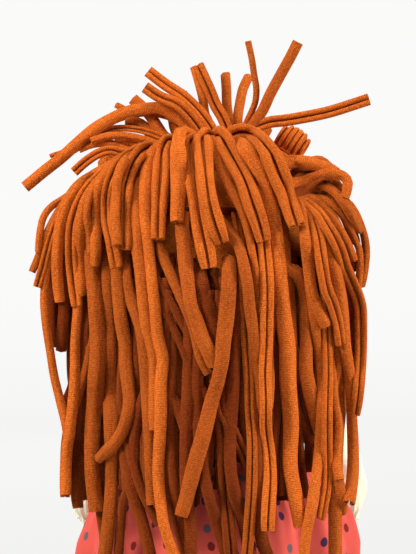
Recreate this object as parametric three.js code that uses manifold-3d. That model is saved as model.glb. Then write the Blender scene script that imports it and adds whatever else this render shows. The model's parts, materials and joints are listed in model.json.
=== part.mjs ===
// A seated cloth rag doll with hair of rolled jersey strips, a dotted dress and a cream blouse.
// Millimetres, +Z up. The doll looks towards -Y, its right hand is at -X, and it sits on z = 0.

import * as THREE from 'three';
import Module from 'manifold-3d';
import { mergeVertices } from 'three/addons/utils/BufferGeometryUtils.js';

const wasm = await Module();
wasm.setup();

// General clearances and cloth.
const seatGap = 0.3;
const coverThickness = 1.1;
const dressThickness = 1.2;
const flatDepth = 0.5;

// Head and neck.
const headHalfWidth = 75;
const headHalfDepth = 72;
const headHalfHeight = 77;
const neckRadius = 17;
const neckLength = 14;
const neckInsert = 9.7;
const neckSocketEase = 2;
const neckTurnGap = 0.6;

// Torso.
const torsoHeight = 164;
const torsoHalfWidth = 56;
const torsoHalfDepth = 42;

// Arms.
const shoulderZ = 147;
const armRootRadius = 13;
const armElbowRadius = 11.5;
const armWristRadius = 8.5;
const handRadius = 12;
const elbowOut = 34;
const elbowForward = 50;
const elbowDrop = 62;
const handOut = 31;
const handForward = 98;
const handDrop = 118;
const shoulderSag = 0;
const armholeGap = 0.9;

// Sleeves.
const sleeveRadius = 15.2;
const cuffRadius = 12.4;

// Legs.
const legRootRadius = 22;
const kneeRadius = 19;
const ankleRadius = 14;
const legLength = 172;
const footLength = 30;
const footRise = 34;
const footRadius = 15;
const hipAngle = 27;
const hipSag = 0.55;

// Dress, blouse and collar.
const waistZ = 113;
const bodiceTopZ = 133;
const waistbandHeight = 8;
const strapOffset = 27;
const strapWidth = 10;
const blouseBottomZ = 72;
const skirtHalfWidth = 100;
const skirtFront = 90;
const skirtBack = 58;
const skirtFrontHemZ = 57;
const skirtSideHemZ = 13;
const skirtBackHemZ = 7;
const skirtFoldDepth = 4;
const collarReach = 38;
const collarRise = 11;
const collarWave = 4.5;

// Wig cap and its tie.
const capThickness = 1.2;
const capEase = 1.1;
const capBackEdgeZ = 238;
const capSideEdgeZ = 246;
const capFrontEdgeZ = 284;
const tieInnerRadius = 9.5;
const tieSection = 3;

// Hair strips: their thickness, and how far each layer lies outside the head.
const stripThickness = 5.4;
const weftHeight = 7;
const weftThickness = 4.8;
const innerLift = 6.6;
const middleLift = 14.2;
const fallLift = 21.8;
const bunchLift = 29.4;
const crownLift = 9.5;
const crownFade = 34;
const sidePlane = 30;
const skirtDrape = 11;
const innerWeftZ = 231;
const middleWeftZ = 280;
const crownPolarAngle = 27;
const crownStem = 19;
const tuftSpread = 32;
const stemRadius = 3.4;
const stemSink = 0.9;
const forwardDegrees = [-176, -128, -109, -90, -71, -52, -4];
const forwardInset = 19;
const forwardWidth = 12;
const curvedSpan = 29;
const hangingSpan = 95;
const drapedSpan = 38;

// Loops of strip round the face and the small bun.
const loopTube = 3.4;
const loopRadius = 11.5;
const fringeInset = 8;
const fringeLoops = 7;
const fringeFrom = -0.2 * Math.PI;
const fringeTo = -0.8 * Math.PI;
const bunRadius = 10.8;
const bunLift = 28.5;
const bunLoops = 3;
const bunPostRadius = 9.6;
const bunPostTop = 20;
const bunRightAzimuth = 201;
const bunRightPolar = 34;
const bunLeftAzimuth = 349;
const bunLeftPolar = 47.5;
const sideStripLength = 58;
const sideStripWidth = 9;
const sideStrips = 4;
const sideFrom = -0.13 * Math.PI;
const sideTo = 0.1 * Math.PI;
const sideInset = 6;
const sideFlare = 5;

// The photograph's frame: the head's axis, its half width and the level of the crown, in pixels.
const axisPx = 218;
const headHalfWidthPx = 107;
const crownPy = 137;
const crownRise = 10.3;
const bunchStemPx = 318;
const bunchStemPy = 206;
const photoScale = headHalfWidth / headHalfWidthPx;

// Levels worked out from the sizes above.
const neckTopZ = torsoHeight + neckLength;
const neckHole = neckRadius + neckTurnGap;
const headOpenDrop = headHalfHeight * Math.sqrt(1 - (neckHole / headHalfWidth) ** 2);
const headCentreZ = neckTopZ - neckInsert + headOpenDrop;
const crownZ = headCentreZ + headHalfHeight;

// Facet counts.
const bodySides = 20;
const limbSides = 10;
const sleeveSides = 12;
const skirtFolds = 10;
const skirtSides = skirtFolds * 4;
const collarFolds = 10;
const collarSides = collarFolds * 3;
const stripSides = 4;
const cornerSpread = 1.25;
const loopSteps = 8;
const loopSides = 4;
const tieSides = 5;
const weftSteps = 9;
const headBands = 10;
const capBands = 7;
const strapLevels = 4;
const forwardSteps = 5;
const sideSteps = 4;

const finish = {
  skin: { color: 0xe9c3a0, roughness: 0.95, metalness: 0 },
  stuffing: { color: 0xf4f1ea, roughness: 1, metalness: 0 },
  coral: { color: 0xea5f55, roughness: 0.9, metalness: 0 },
  cream: { color: 0xf6efdc, roughness: 0.9, metalness: 0 },
  lace: { color: 0xfaf5ea, roughness: 0.9, metalness: 0 },
  jersey: { color: 0xcd6220, roughness: 0.95, metalness: 0 },
};

const doll = new THREE.Group();

function addPart(name, geometry, look) {
  const mesh = new THREE.Mesh(geometry, new THREE.MeshStandardMaterial(finish[look]));
  mesh.name = name;
  doll.add(mesh);
  return mesh;
}

const mix = (from, to, share) => from + (to - from) * share;
const smooth = (share) => {
  const t = Math.min(Math.max(share, 0), 1);
  return t * t * (3 - 2 * t);
};

// A table of rows of numbers, read at any share along its first column.
function tableAt(rows, share) {
  let upper = 1;
  while (upper < rows.length - 1 && rows[upper][0] < share) upper += 1;
  const [low, high] = [rows[upper - 1], rows[upper]];
  const part = (share - low[0]) / (high[0] - low[0]);
  return low.map((value, column) => mix(value, high[column], part));
}

function geometryFrom(positions, indices) {
  const geometry = new THREE.BufferGeometry();
  geometry.setAttribute('position', new THREE.Float32BufferAttribute(positions, 3));
  geometry.setIndex(indices);
  return geometry;
}

function signedVolume(points, faces) {
  let volume = 0;
  const cross = new THREE.Vector3();
  for (const [a, b, c] of faces) volume += points[a].dot(cross.crossVectors(points[b], points[c]));
  return volume;
}

// A closed body through rings of points. A loop joins its last ring to its first; otherwise each end
// closes on a pole, which is the ring's middle unless a point is given.
function ringBody(rings, { loop = false, startPole = null, endPole = null } = {}) {
  const sides = rings[0].length;
  const points = rings.flat().map((point) => point.clone());
  let faces = [];
  const rows = loop ? rings.length : rings.length - 1;
  for (let row = 0; row < rows; row += 1) {
    const next = (row + 1) % rings.length;
    for (let side = 0; side < sides; side += 1) {
      const turn = (side + 1) % sides;
      const [a, b] = [row * sides + side, row * sides + turn];
      const [c, d] = [next * sides + side, next * sides + turn];
      if (points[a].distanceTo(points[d]) <= points[b].distanceTo(points[c])) {
        faces.push([a, b, d], [a, d, c]);
      } else {
        faces.push([a, b, c], [b, d, c]);
      }
    }
  }
  if (!loop) {
    const middle = (ring) => ring.reduce((sum, p) => sum.add(p), new THREE.Vector3()).divideScalar(sides);
    const start = points.push((startPole ?? middle(rings[0])).clone()) - 1;
    const end = points.push((endPole ?? middle(rings.at(-1))).clone()) - 1;
    const last = (rings.length - 1) * sides;
    for (let side = 0; side < sides; side += 1) {
      const turn = (side + 1) % sides;
      faces.push([turn, side, start], [last + side, last + turn, end]);
    }
  }
  if (signedVolume(points, faces) < 0) faces = faces.map(([a, b, c]) => [a, c, b]);
  return geometryFrom(points.flatMap((p) => [p.x, p.y, p.z]), faces.flat());
}

function solidOf(geometry) {
  const bare = geometry.clone();
  bare.deleteAttribute('normal');
  bare.deleteAttribute('uv');
  const merged = mergeVertices(bare);
  return new wasm.Manifold(new wasm.Mesh({
    numProp: 3,
    vertProperties: new Float32Array(merged.attributes.position.array),
    triVerts: new Uint32Array(merged.index.array),
  }));
}

function geometryOf(solid) {
  const mesh = solid.getMesh();
  return geometryFrom(Array.from(mesh.vertProperties), Array.from(mesh.triVerts));
}

// Joined strips can close round a pocket of air. Its skin faces inwards, and is left out.
function withoutPockets(geometry) {
  const { array } = geometry.attributes.position;
  const faces = Array.from(geometry.index.array);
  const owner = Array.from({ length: array.length / 3 }, (_, vertex) => vertex);
  const root = (vertex) => {
    let top = vertex;
    while (owner[top] !== top) top = owner[top];
    owner[vertex] = top;
    return top;
  };
  for (let at = 0; at < faces.length; at += 3) {
    owner[root(faces[at])] = root(faces[at + 1]);
    owner[root(faces[at + 1])] = root(faces[at + 2]);
  }
  const skins = new Map();
  for (let at = 0; at < faces.length; at += 3) {
    const skin = root(faces[at]);
    if (!skins.has(skin)) skins.set(skin, []);
    skins.get(skin).push(faces.slice(at, at + 3));
  }
  const points = [];
  for (let at = 0; at < array.length; at += 3) points.push(new THREE.Vector3().fromArray(array, at));
  const solid = [...skins.values()].filter((skin) => signedVolume(points, skin) > 0);
  return geometryFrom(Array.from(array), solid.flat(2));
}

const joined = (geometries) => withoutPockets(
  geometryOf(geometries.map(solidOf).reduce((all, one) => all.add(one))),
);
const cutBy = (geometry, cutters) => geometryOf(
  cutters.map(solidOf).reduce((left, cutter) => left.subtract(cutter), solidOf(geometry)),
);

// An upright ring: its half width, its reach to the front (-Y) and to the back (+Y).
function ovalRing(z, halfWidth, front, back, sides, change = null) {
  const ring = [];
  for (let side = 0; side < sides; side += 1) {
    const angle = (2 * Math.PI * side) / sides;
    const depth = Math.sin(angle) < 0 ? front : back;
    const point = new THREE.Vector3(halfWidth * Math.cos(angle), depth * Math.sin(angle), z);
    ring.push(change ? change(point, angle) : point);
  }
  return ring;
}

// Torso. Each row: share of the height, of the half width and of the half depth.
const torsoShares = [
  [0, 0.82, 0.82],
  [0.045, 0.96, 0.95],
  [0.17, 1, 1],
  [0.36, 0.92, 0.93],
  [0.6, 0.8, 0.8],
  [0.8, 0.85, 0.82],
  [0.9, 0.8, 0.74],
  [0.965, 0.56, 0.6],
];

function torsoOval(z, outside) {
  const [, width, depth] = tableAt(torsoShares, Math.min(z / torsoHeight, torsoShares.at(-1)[0]));
  return [torsoHalfWidth * width + outside, torsoHalfDepth * depth + outside];
}

function torsoRings(fromZ, toZ, outside) {
  const levels = torsoShares.map(([share]) => share * torsoHeight).filter((z) => z > fromZ && z < toZ);
  return [fromZ, ...levels, toZ].map((z) => {
    const [width, depth] = torsoOval(z, outside);
    return ovalRing(z, width, depth, depth, bodySides);
  });
}

const neckRings = (radius, levels) => levels.map((z) => ovalRing(z, radius, radius, radius, bodySides));
const shoulderTopZ = torsoShares.at(-1)[0] * torsoHeight;

function makeTorso() {
  const outer = [
    ...torsoRings(0, shoulderTopZ, 0),
    ...neckRings(neckRadius, [torsoHeight, neckTopZ]),
  ];
  const inner = [
    ...neckRings(neckRadius - coverThickness, [neckTopZ, torsoHeight - coverThickness]),
    ...torsoRings(coverThickness, shoulderTopZ - coverThickness, -coverThickness).reverse(),
  ];
  addPart('torso_cover', ringBody([...outer, ...inner]), 'skin');
  const inset = coverThickness + seatGap;
  addPart('torso_stuffing', ringBody([
    ...torsoRings(inset, shoulderTopZ - inset, -inset),
    ...neckRings(neckRadius - inset, [torsoHeight - inset, neckTopZ - coverThickness]),
  ]), 'stuffing');
}

// Head: polar angle from the crown, azimuth from +X, and how far outside the cover.
function headPoint(azimuth, polar, lift) {
  return new THREE.Vector3(
    (headHalfWidth + lift) * Math.sin(polar) * Math.cos(azimuth),
    (headHalfDepth + lift) * Math.sin(polar) * Math.sin(azimuth),
    headCentreZ + (headHalfHeight + lift) * Math.cos(polar),
  );
}

function headRing(polar, lift) {
  const ring = [];
  for (let side = 0; side < bodySides; side += 1) {
    ring.push(headPoint((2 * Math.PI * side) / bodySides, polar, lift));
  }
  return ring;
}

function headNormal(point) {
  return new THREE.Vector3(
    point.x / headHalfWidth ** 2,
    point.y / headHalfDepth ** 2,
    (point.z - headCentreZ) / headHalfHeight ** 2,
  ).normalize();
}

function headRings(toPolar, lift, bands = headBands) {
  const rings = [];
  for (let band = 1; band <= bands; band += 1) rings.push(headRing((toPolar * band) / headBands, lift));
  return rings;
}

function makeHead() {
  const openPolar = Math.PI - Math.asin(neckHole / headHalfDepth);
  const outer = headRings(openPolar, 0);
  const inner = headRings(openPolar, -coverThickness).reverse();
  addPart('head_cover', ringBody([...outer, ...inner], {
    startPole: headPoint(0, 0, 0),
    endPole: headPoint(0, 0, -coverThickness),
  }), 'skin');
  const inset = coverThickness + seatGap;
  const fill = headRings(openPolar, -inset, headBands - 1);
  const socketRadius = neckHole + neckSocketEase;
  addPart('head_stuffing', ringBody([
    ...fill,
    ...neckRings(socketRadius, [fill.at(-1)[0].z, neckTopZ + seatGap]),
  ], { startPole: headPoint(0, 0, -inset) }), 'stuffing');
}

// Wig cap: its edge dips from the hairline over the forehead to the nape.
function capEdgePolar(azimuth) {
  const front = smooth(-Math.sin(azimuth));
  const back = smooth(Math.sin(azimuth));
  const edgeZ = capSideEdgeZ + (capFrontEdgeZ - capSideEdgeZ) * front + (capBackEdgeZ - capSideEdgeZ) * back;
  return Math.acos((edgeZ - headCentreZ) / headHalfHeight);
}

const capInside = seatGap + capEase;
const capOutside = capInside + capThickness;
const hairRest = capOutside + seatGap * 2;

function makeWigCap() {
  const band = (share, lift) => {
    const ring = [];
    for (let side = 0; side < bodySides; side += 1) {
      const azimuth = (2 * Math.PI * side) / bodySides;
      ring.push(headPoint(azimuth, capEdgePolar(azimuth) * share, lift));
    }
    return ring;
  };
  const outer = [];
  const inner = [];
  for (let step = 1; step <= capBands; step += 1) {
    outer.push(band(step / capBands, capOutside));
    inner.unshift(band(step / capBands, capInside));
  }
  addPart('wig_cap', ringBody([...outer, ...inner], {
    startPole: headPoint(0, 0, capOutside),
    endPole: headPoint(0, 0, capInside),
  }), 'jersey');
}

// Limbs: a tapered tube along a curve, an open end at the joint and a rounded tip.
function limbRings(curve, radiusAt, steps, inset, keepAbove) {
  const rings = [];
  const across = new THREE.Vector3(1, 0, 0);
  for (let step = 0; step <= steps; step += 1) {
    const share = step / steps;
    const centre = curve.getPoint(share);
    const along = curve.getTangent(share);
    const side = across.clone().addScaledVector(along, -along.dot(across)).normalize();
    const up = new THREE.Vector3().crossVectors(along, side).normalize();
    const radius = radiusAt(share) - inset;
    const ring = [];
    for (let turn = 0; turn < limbSides; turn += 1) {
      const angle = (2 * Math.PI * turn) / limbSides + Math.PI / 2;
      const point = centre.clone()
        .addScaledVector(side, radius * Math.cos(angle))
        .addScaledVector(up, radius * Math.sin(angle));
      if (keepAbove !== null) point.z = Math.max(point.z, keepAbove + inset);
      ring.push(point);
    }
    rings.push(ring);
  }
  return rings;
}

const tipRoundShare = 0.55;

function makeLimb(name, points, radiusShares, keepAbove = null) {
  const curve = new THREE.CatmullRomCurve3(points);
  const radiusAt = (share) => tableAt(radiusShares, share)[1];
  const steps = radiusShares.length + 1;
  const outer = limbRings(curve, radiusAt, steps, 0, keepAbove);
  const inner = limbRings(curve, radiusAt, steps, coverThickness, keepAbove);
  const tip = curve.getPoint(1);
  const end = curve.getTangent(1);
  const tipReach = radiusAt(1) * tipRoundShare;
  addPart(`${name}_cover`, ringBody([...inner.reverse(), ...outer], {
    startPole: tip.clone().addScaledVector(end, tipReach - coverThickness),
    endPole: tip.clone().addScaledVector(end, tipReach),
  }), 'skin');
  const inset = coverThickness + seatGap;
  addPart(`${name}_stuffing`, ringBody(limbRings(curve, radiusAt, steps, inset, keepAbove), {
    endPole: tip.clone().addScaledVector(end, tipReach - inset),
  }), 'stuffing');
  return curve;
}

// The centre of a ball that rests against the torso, at an angle from the front (-Y). The torso swells
// below the shoulder, so its size is read at the level where the ball meets it. The facets of both lie
// inside their rounds, which the sag takes up.
function torsoSeat(z, angle, ballRadius, wideAt, sag) {
  const [width, depth] = torsoOval(wideAt, 0);
  const foot = new THREE.Vector3(width * Math.sin(angle), -depth * Math.cos(angle), z);
  const out = new THREE.Vector3(foot.x / width ** 2, foot.y / depth ** 2, 0).normalize();
  return foot.addScaledVector(out, ballRadius + seatGap - sag);
}

const shoulderMeetShare = 0.6;
const shoulderMeetZ = shoulderZ - armRootRadius * shoulderMeetShare;
const shoulderSeat = torsoSeat(shoulderZ, Math.PI / 2, armRootRadius, shoulderMeetZ, shoulderSag);
const hipRadians = THREE.MathUtils.degToRad(hipAngle);
const hipSeat = torsoSeat(legRootRadius, hipRadians, legRootRadius, legRootRadius, hipSag);

// Radius along each limb. The first rows round the end that is sewn to the torso.
const rootShares = { open: 0.62, shoulder: 0.95 };
const armRadii = [
  [0, armRootRadius * rootShares.open],
  [0.07, armRootRadius * rootShares.shoulder],
  [0.16, armRootRadius],
  [0.5, armElbowRadius],
  [0.85, armWristRadius],
  [0.93, handRadius],
  [1, handRadius * rootShares.open],
];
const legRadii = [
  [0, legRootRadius * rootShares.open],
  [0.08, legRootRadius * rootShares.shoulder],
  [0.18, legRootRadius],
  [0.45, kneeRadius],
  [0.78, ankleRadius],
  [0.9, footRadius],
  [1, footRadius * rootShares.shoulder],
];

// Each limb's path: shares of the reach outwards, to the front and downwards (arm), or of the root radius
// outwards, of the leg and foot to the front, and of the foot's rise upwards (leg).
const armPathShares = { root: [-0.55, -0.1, -0.4], upper: [0.5, 0.2, 0.38] };
const legPathShares = {
  rootBack: 0.78,
  knee: 0.5,
  kneeOut: 0.2,
  ankleOut: 0.3,
  heel: 0.7,
  toe: 1.1,
  arch: 0.4,
};

function armPoints(side) {
  const place = ([out, forward, drop]) => new THREE.Vector3(
    side * (shoulderSeat.x + out),
    shoulderSeat.y - forward,
    shoulderSeat.z - drop,
  );
  const elbow = [elbowOut, elbowForward, elbowDrop];
  return [
    place(armPathShares.root.map((share) => share * armRootRadius)),
    place(armPathShares.upper.map((share, index) => share * elbow[index])),
    place(elbow),
    place([handOut, handForward, handDrop]),
  ];
}

function legPoints(side) {
  const rest = legRootRadius - flatDepth;
  const shares = legPathShares;
  const place = (out, forward, z) => new THREE.Vector3(
    side * (hipSeat.x + legRootRadius * out),
    hipSeat.y - forward,
    z,
  );
  return [
    place(0, -legRootRadius * shares.rootBack, rest),
    place(0, 0, rest),
    place(shares.kneeOut, legLength * shares.knee, kneeRadius - flatDepth),
    place(shares.ankleOut, legLength, ankleRadius - flatDepth),
    place(shares.ankleOut, legLength + footLength * shares.heel, footRadius),
    place(shares.ankleOut, legLength + footLength * shares.toe, footRadius + footRise * shares.arch),
    place(shares.ankleOut, legLength + footLength * shares.toe, footRadius + footRise),
  ];
}

// Sleeve: a puffed tube round the arm from the armhole to a drawn-in cuff. Each row: share of the way
// along the arm, and of the sleeve's radius.
const sleeveShares = [
  [0.15, 0.98],
  [0.24, 1.08],
  [0.46, 1.03],
  [0.66, 1.02],
  [0.79, 0.98],
  [0.84, cuffRadius / sleeveRadius],
];

function makeSleeve(name, curve) {
  const across = new THREE.Vector3(1, 0, 0);
  const ringAt = ([share, width], inset) => {
    const radius = sleeveRadius * width - inset;
    const centre = curve.getPoint(share);
    const tangent = curve.getTangent(share);
    const side = across.clone().addScaledVector(tangent, -tangent.dot(across)).normalize();
    const up = new THREE.Vector3().crossVectors(tangent, side);
    const ring = [];
    for (let turn = 0; turn < sleeveSides; turn += 1) {
      const angle = (2 * Math.PI * turn) / sleeveSides;
      ring.push(centre.clone()
        .addScaledVector(side, radius * Math.cos(angle))
        .addScaledVector(up, radius * Math.sin(angle)));
    }
    return ring;
  };
  const outer = sleeveShares.map((row) => ringAt(row, 0));
  const inner = sleeveShares.map((row) => ringAt(row, dressThickness)).reverse();
  addPart(name, ringBody([...outer, ...inner], { loop: true }), 'cream');
}

// Blouse body, with an armhole for each arm, and the dress over it.
const blouseInside = seatGap;
const blouseOutside = blouseInside + coverThickness;
const bodiceInside = blouseOutside + seatGap;
const bodiceOutside = bodiceInside + dressThickness;

function torsoSleeveShell(fromZ, toZ, inside, outside) {
  return ringBody([
    ...torsoRings(fromZ, toZ, outside),
    ...torsoRings(fromZ, toZ, inside).reverse(),
  ], { loop: true });
}

function makeBlouse() {
  const holes = [1, -1].map((side) => {
    const ball = new THREE.SphereGeometry(armRootRadius + armholeGap, limbSides * 2, limbSides);
    return ball.translate(side * shoulderSeat.x, shoulderSeat.y, shoulderSeat.z);
  });
  const shell = torsoSleeveShell(blouseBottomZ, shoulderTopZ, blouseInside, blouseOutside);
  addPart('blouse_body', cutBy(shell, holes), 'cream');
}

function makeBodice() {
  addPart('dress_bodice', torsoSleeveShell(waistZ, bodiceTopZ, bodiceInside, bodiceOutside), 'coral');
  const bandInside = bodiceOutside + seatGap;
  addPart('dress_waistband', torsoSleeveShell(
    waistZ,
    waistZ + waistbandHeight,
    bandInside,
    bandInside + dressThickness,
  ), 'coral');
}

// Shoulder strap: a flat band over the blouse from the bodice's front edge to its back edge.
function makeStrap(name, side) {
  const edges = [strapOffset - strapWidth / 2, strapOffset + strapWidth / 2];
  const inside = blouseOutside + seatGap * 2;
  const outside = inside + dressThickness;
  const depthAt = (x, z, lift) => {
    const [width, depth] = torsoOval(z, lift);
    return depth * Math.sqrt(Math.max(1 - (x / width) ** 2, 0));
  };
  const topAt = (x, lift) => {
    const [shoulderWidth] = torsoOval(shoulderTopZ, 0);
    const slope = (x - neckRadius) / (shoulderWidth - neckRadius);
    return mix(torsoHeight, shoulderTopZ, slope) + lift;
  };
  const rings = [];
  for (const sign of [-1, 1]) {
    const half = [];
    for (let step = 0; step <= strapLevels; step += 1) {
      const share = step / strapLevels;
      const z = mix(bodiceTopZ + seatGap, shoulderTopZ, share);
      const [riseIn, riseOut] = [inside * share ** 2, outside * share ** 2];
      half.push([
        new THREE.Vector3(side * edges[0], sign * depthAt(edges[0], z, inside), z + riseIn),
        new THREE.Vector3(side * edges[1], sign * depthAt(edges[1], z, inside), z + riseIn),
        new THREE.Vector3(side * edges[1], sign * depthAt(edges[1], z, outside), z + riseOut),
        new THREE.Vector3(side * edges[0], sign * depthAt(edges[0], z, outside), z + riseOut),
      ]);
    }
    if (sign < 0) {
      rings.push(...half, [
        new THREE.Vector3(side * edges[0], 0, topAt(edges[0], inside + seatGap)),
        new THREE.Vector3(side * edges[1], 0, topAt(edges[1], inside + seatGap)),
        new THREE.Vector3(side * edges[1], 0, topAt(edges[1], outside + seatGap)),
        new THREE.Vector3(side * edges[0], 0, topAt(edges[0], outside + seatGap)),
      ]);
    } else {
      rings.push(...half.reverse());
    }
  }
  addPart(name, ringBody(rings), 'coral');
}

// Skirt. Each row: share of the way down, then of the spread from the waist to the hem: sideways, to
// the front and to the back.
const frontHemShare = 1.25;
const foldRiseShare = 1.6;
const skirtShares = [
  [0, 0, 0, 0],
  [0.12, 0.21, 0.18, 0.32],
  [0.28, 0.52, 0.42, 0.64],
  [0.48, 0.82, 0.69, 0.89],
  [0.72, 0.96, 0.88, 1],
  [1, 1, 1, 1],
];

function skirtHemZ(angle) {
  const front = smooth(-Math.sin(angle) * frontHemShare);
  const back = smooth(Math.sin(angle));
  return skirtSideHemZ + (skirtFrontHemZ - skirtSideHemZ) * front + (skirtBackHemZ - skirtSideHemZ) * back;
}

function skirtRing([down, width, front, back], inset) {
  const topZ = waistZ - seatGap;
  const [waistWidth, waistDepth] = torsoOval(waistZ, bodiceOutside);
  return ovalRing(topZ, 1, 1, 1, skirtSides, (unit, angle) => {
    const fold = skirtFoldDepth * smooth(down * foldRiseShare) * Math.cos(skirtFolds * angle);
    const spread = Math.sin(angle) < 0
      ? mix(waistDepth, skirtFront, front)
      : mix(waistDepth, skirtBack, back);
    return new THREE.Vector3(
      unit.x * (mix(waistWidth, skirtHalfWidth, width) + fold - inset),
      unit.y * (spread + fold - inset),
      mix(topZ, skirtHemZ(angle), down),
    );
  });
}

function makeSkirt() {
  const outer = skirtShares.map((row) => skirtRing(row, 0));
  const inner = skirtShares.map((row) => skirtRing(row, dressThickness)).reverse();
  addPart('dress_skirt', ringBody([...outer, ...inner], { loop: true }), 'coral');
}

// Collar: a gathered ruffle that rises from the neck and waves along its outer edge.
const collarShares = [
  [0, 0, 0],
  [0.45, 0.22, 0.35],
  [1, 1, 1],
];

function makeCollar() {
  const baseZ = torsoHeight + seatGap + dressThickness;
  const ringAt = ([out, rise, wave], lift) => ovalRing(baseZ, 1, 1, 1, collarSides, (unit, angle) => {
    const reach = neckRadius + seatGap + collarReach * out;
    return new THREE.Vector3(
      unit.x * reach,
      unit.y * reach,
      baseZ + collarRise * rise + collarWave * wave * Math.cos(collarFolds * angle) + lift,
    );
  });
  const top = collarShares.map((row) => ringAt(row, dressThickness));
  const under = collarShares.map((row) => ringAt(row, 0)).reverse();
  addPart('ruffle_collar', ringBody([...top, ...under], { loop: true }), 'lace');
}

// Hair. A place in the photograph becomes a place on a layer that lies outside the head.
function layerDepth(x, z, lift) {
  const drape = skirtDrape * smooth((waistZ - z) / (waistZ - skirtFrontHemZ));
  const out = lift + drape;
  const across = (x / (headHalfWidth + out)) ** 2;
  const above = z > headCentreZ ? ((z - headCentreZ) / (headHalfHeight + out)) ** 2 : 0;
  const round = (headHalfDepth + out) * Math.sqrt(Math.max(1 - across - above, 0));
  return Math.max(round, sidePlane + out - innerLift);
}

const photoX = (px) => (axisPx - px) * photoScale;
const photoZ = (py) => crownZ + crownRise - (py - crownPy) * photoScale;

function layerNormal(x, z, liftAt) {
  const step = seatGap;
  const slopeX = (layerDepth(x + step, z, liftAt(z)) - layerDepth(x - step, z, liftAt(z))) / (2 * step);
  const slopeZ = (layerDepth(x, z + step, liftAt(z)) - layerDepth(x, z - step, liftAt(z))) / (2 * step);
  return new THREE.Vector3(-slopeX, 1, -slopeZ).normalize();
}

// A flat oval tube through points, each with the direction that its thin side faces.
function stripTube(centres, normals, width) {
  const rings = centres.map((centre, index) => {
    const before = centres[Math.max(index - 1, 0)];
    const after = centres[Math.min(index + 1, centres.length - 1)];
    const along = after.clone().sub(before).normalize();
    const out = normals[index].clone().addScaledVector(along, -along.dot(normals[index])).normalize();
    const wide = new THREE.Vector3().crossVectors(along, out);
    const ring = [];
    for (let side = 0; side < stripSides; side += 1) {
      const angle = (2 * Math.PI * (side + 0.5)) / stripSides;
      ring.push(centre.clone()
        .addScaledVector(wide, (width / 2) * cornerSpread * Math.cos(angle))
        .addScaledVector(out, (stripThickness / 2) * cornerSpread * Math.sin(angle)));
    }
    return ring;
  });
  return ringBody(rings);
}

function photoStrip([widthPx, ...path], liftAt, depthAt = null) {
  const places = path.map(([px, py]) => new THREE.Vector3(photoX(px), 0, photoZ(py)));
  const curve = new THREE.CatmullRomCurve3(places);
  const centres = [];
  const normals = [];
  let due = 0;
  const crowded = 0.5;
  const fine = Math.ceil(curve.getLength() / stripThickness);
  for (let step = 0; step <= fine; step += 1) {
    const flat = curve.getPointAt(step / fine);
    let span = drapedSpan;
    if (flat.z > waistZ) span = hangingSpan;
    if (flat.z > headCentreZ) span = curvedSpan;
    if (step === fine && due > crowded && centres.length > 2) {
      centres.pop();
      normals.pop();
    }
    if (due <= 0 || step === fine) {
      const depth = layerDepth(flat.x, flat.z, liftAt(flat.z));
      centres.push(new THREE.Vector3(flat.x, depthAt ? depthAt(flat, depth, step / fine) : depth, flat.z));
      normals.push(layerNormal(flat.x, flat.z, liftAt));
      due += 1;
    }
    due -= stripThickness / span;
  }
  return stripTube(centres, normals, widthPx * photoScale);
}

// A sewn band that carries the roots of a layer, between two places along the layer.
const middleWeftPixels = [96, 282];
const innerWeftPixels = [128, 304];
const weftCornerShares = [[-1, -1], [1, -1], [1, 1], [-1, 1]];

function weftBand([fromPx, toPx], z, lift) {
  const rings = [];
  for (let step = 0; step <= weftSteps; step += 1) {
    const x = photoX(mix(fromPx, toPx, step / weftSteps));
    const ring = [];
    for (const [outShare, upShare] of weftCornerShares) {
      const level = z + (upShare * weftHeight) / 2;
      const centre = new THREE.Vector3(x, layerDepth(x, level, lift), level);
      ring.push(centre.addScaledVector(layerNormal(x, level, () => lift), (outShare * weftThickness) / 2));
    }
    rings.push(ring);
  }
  return ringBody(rings);
}

// Strips over the crown. Each row: width, then the places from the root to the cut end, in pixels. Their
// cut ends also spread to the back (positive shares) and to the front.
const tuftSpreadShares = [0, 0.22, 0.4, -0.22, -0.06, 0.16, -0.56, 0.48, -0.25, -0.8, -0.92, 0.16, 0.38, 0.56];
const tuftPixels = [
  [9, [200, 133], [175, 115], [141, 107], [115, 114], [80, 142], [50, 168], [26, 187]],
  [12, [215, 134], [207, 125], [180, 96], [148, 71]],
  [10, [208, 138], [188, 118], [160, 99], [145, 87]],
  [12, [205, 137], [168, 132], [150, 112], [134, 99]],
  [8, [205, 137], [168, 141], [128, 129], [97, 136]],
  [9, [205, 137], [135, 150], [97, 154], [74, 172]],
  [9, [214, 134], [205, 120], [192, 105], [180, 86]],
  [9, [214, 133], [211, 125], [204, 105], [194, 68]],
  [9, [218, 133], [231, 130], [215, 97], [199, 65]],
  [10, [222, 133], [231, 122], [226, 90], [225, 75]],
  [9, [222, 133], [236, 124], [243, 91], [248, 77]],
  [7, [224, 133], [243, 127], [254, 107], [257, 86], [248, 41]],
  [10, [228, 133], [257, 120], [280, 76], [298, 42]],
  [11, [228, 133], [252, 131], [300, 116], [369, 98]],
];

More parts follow.
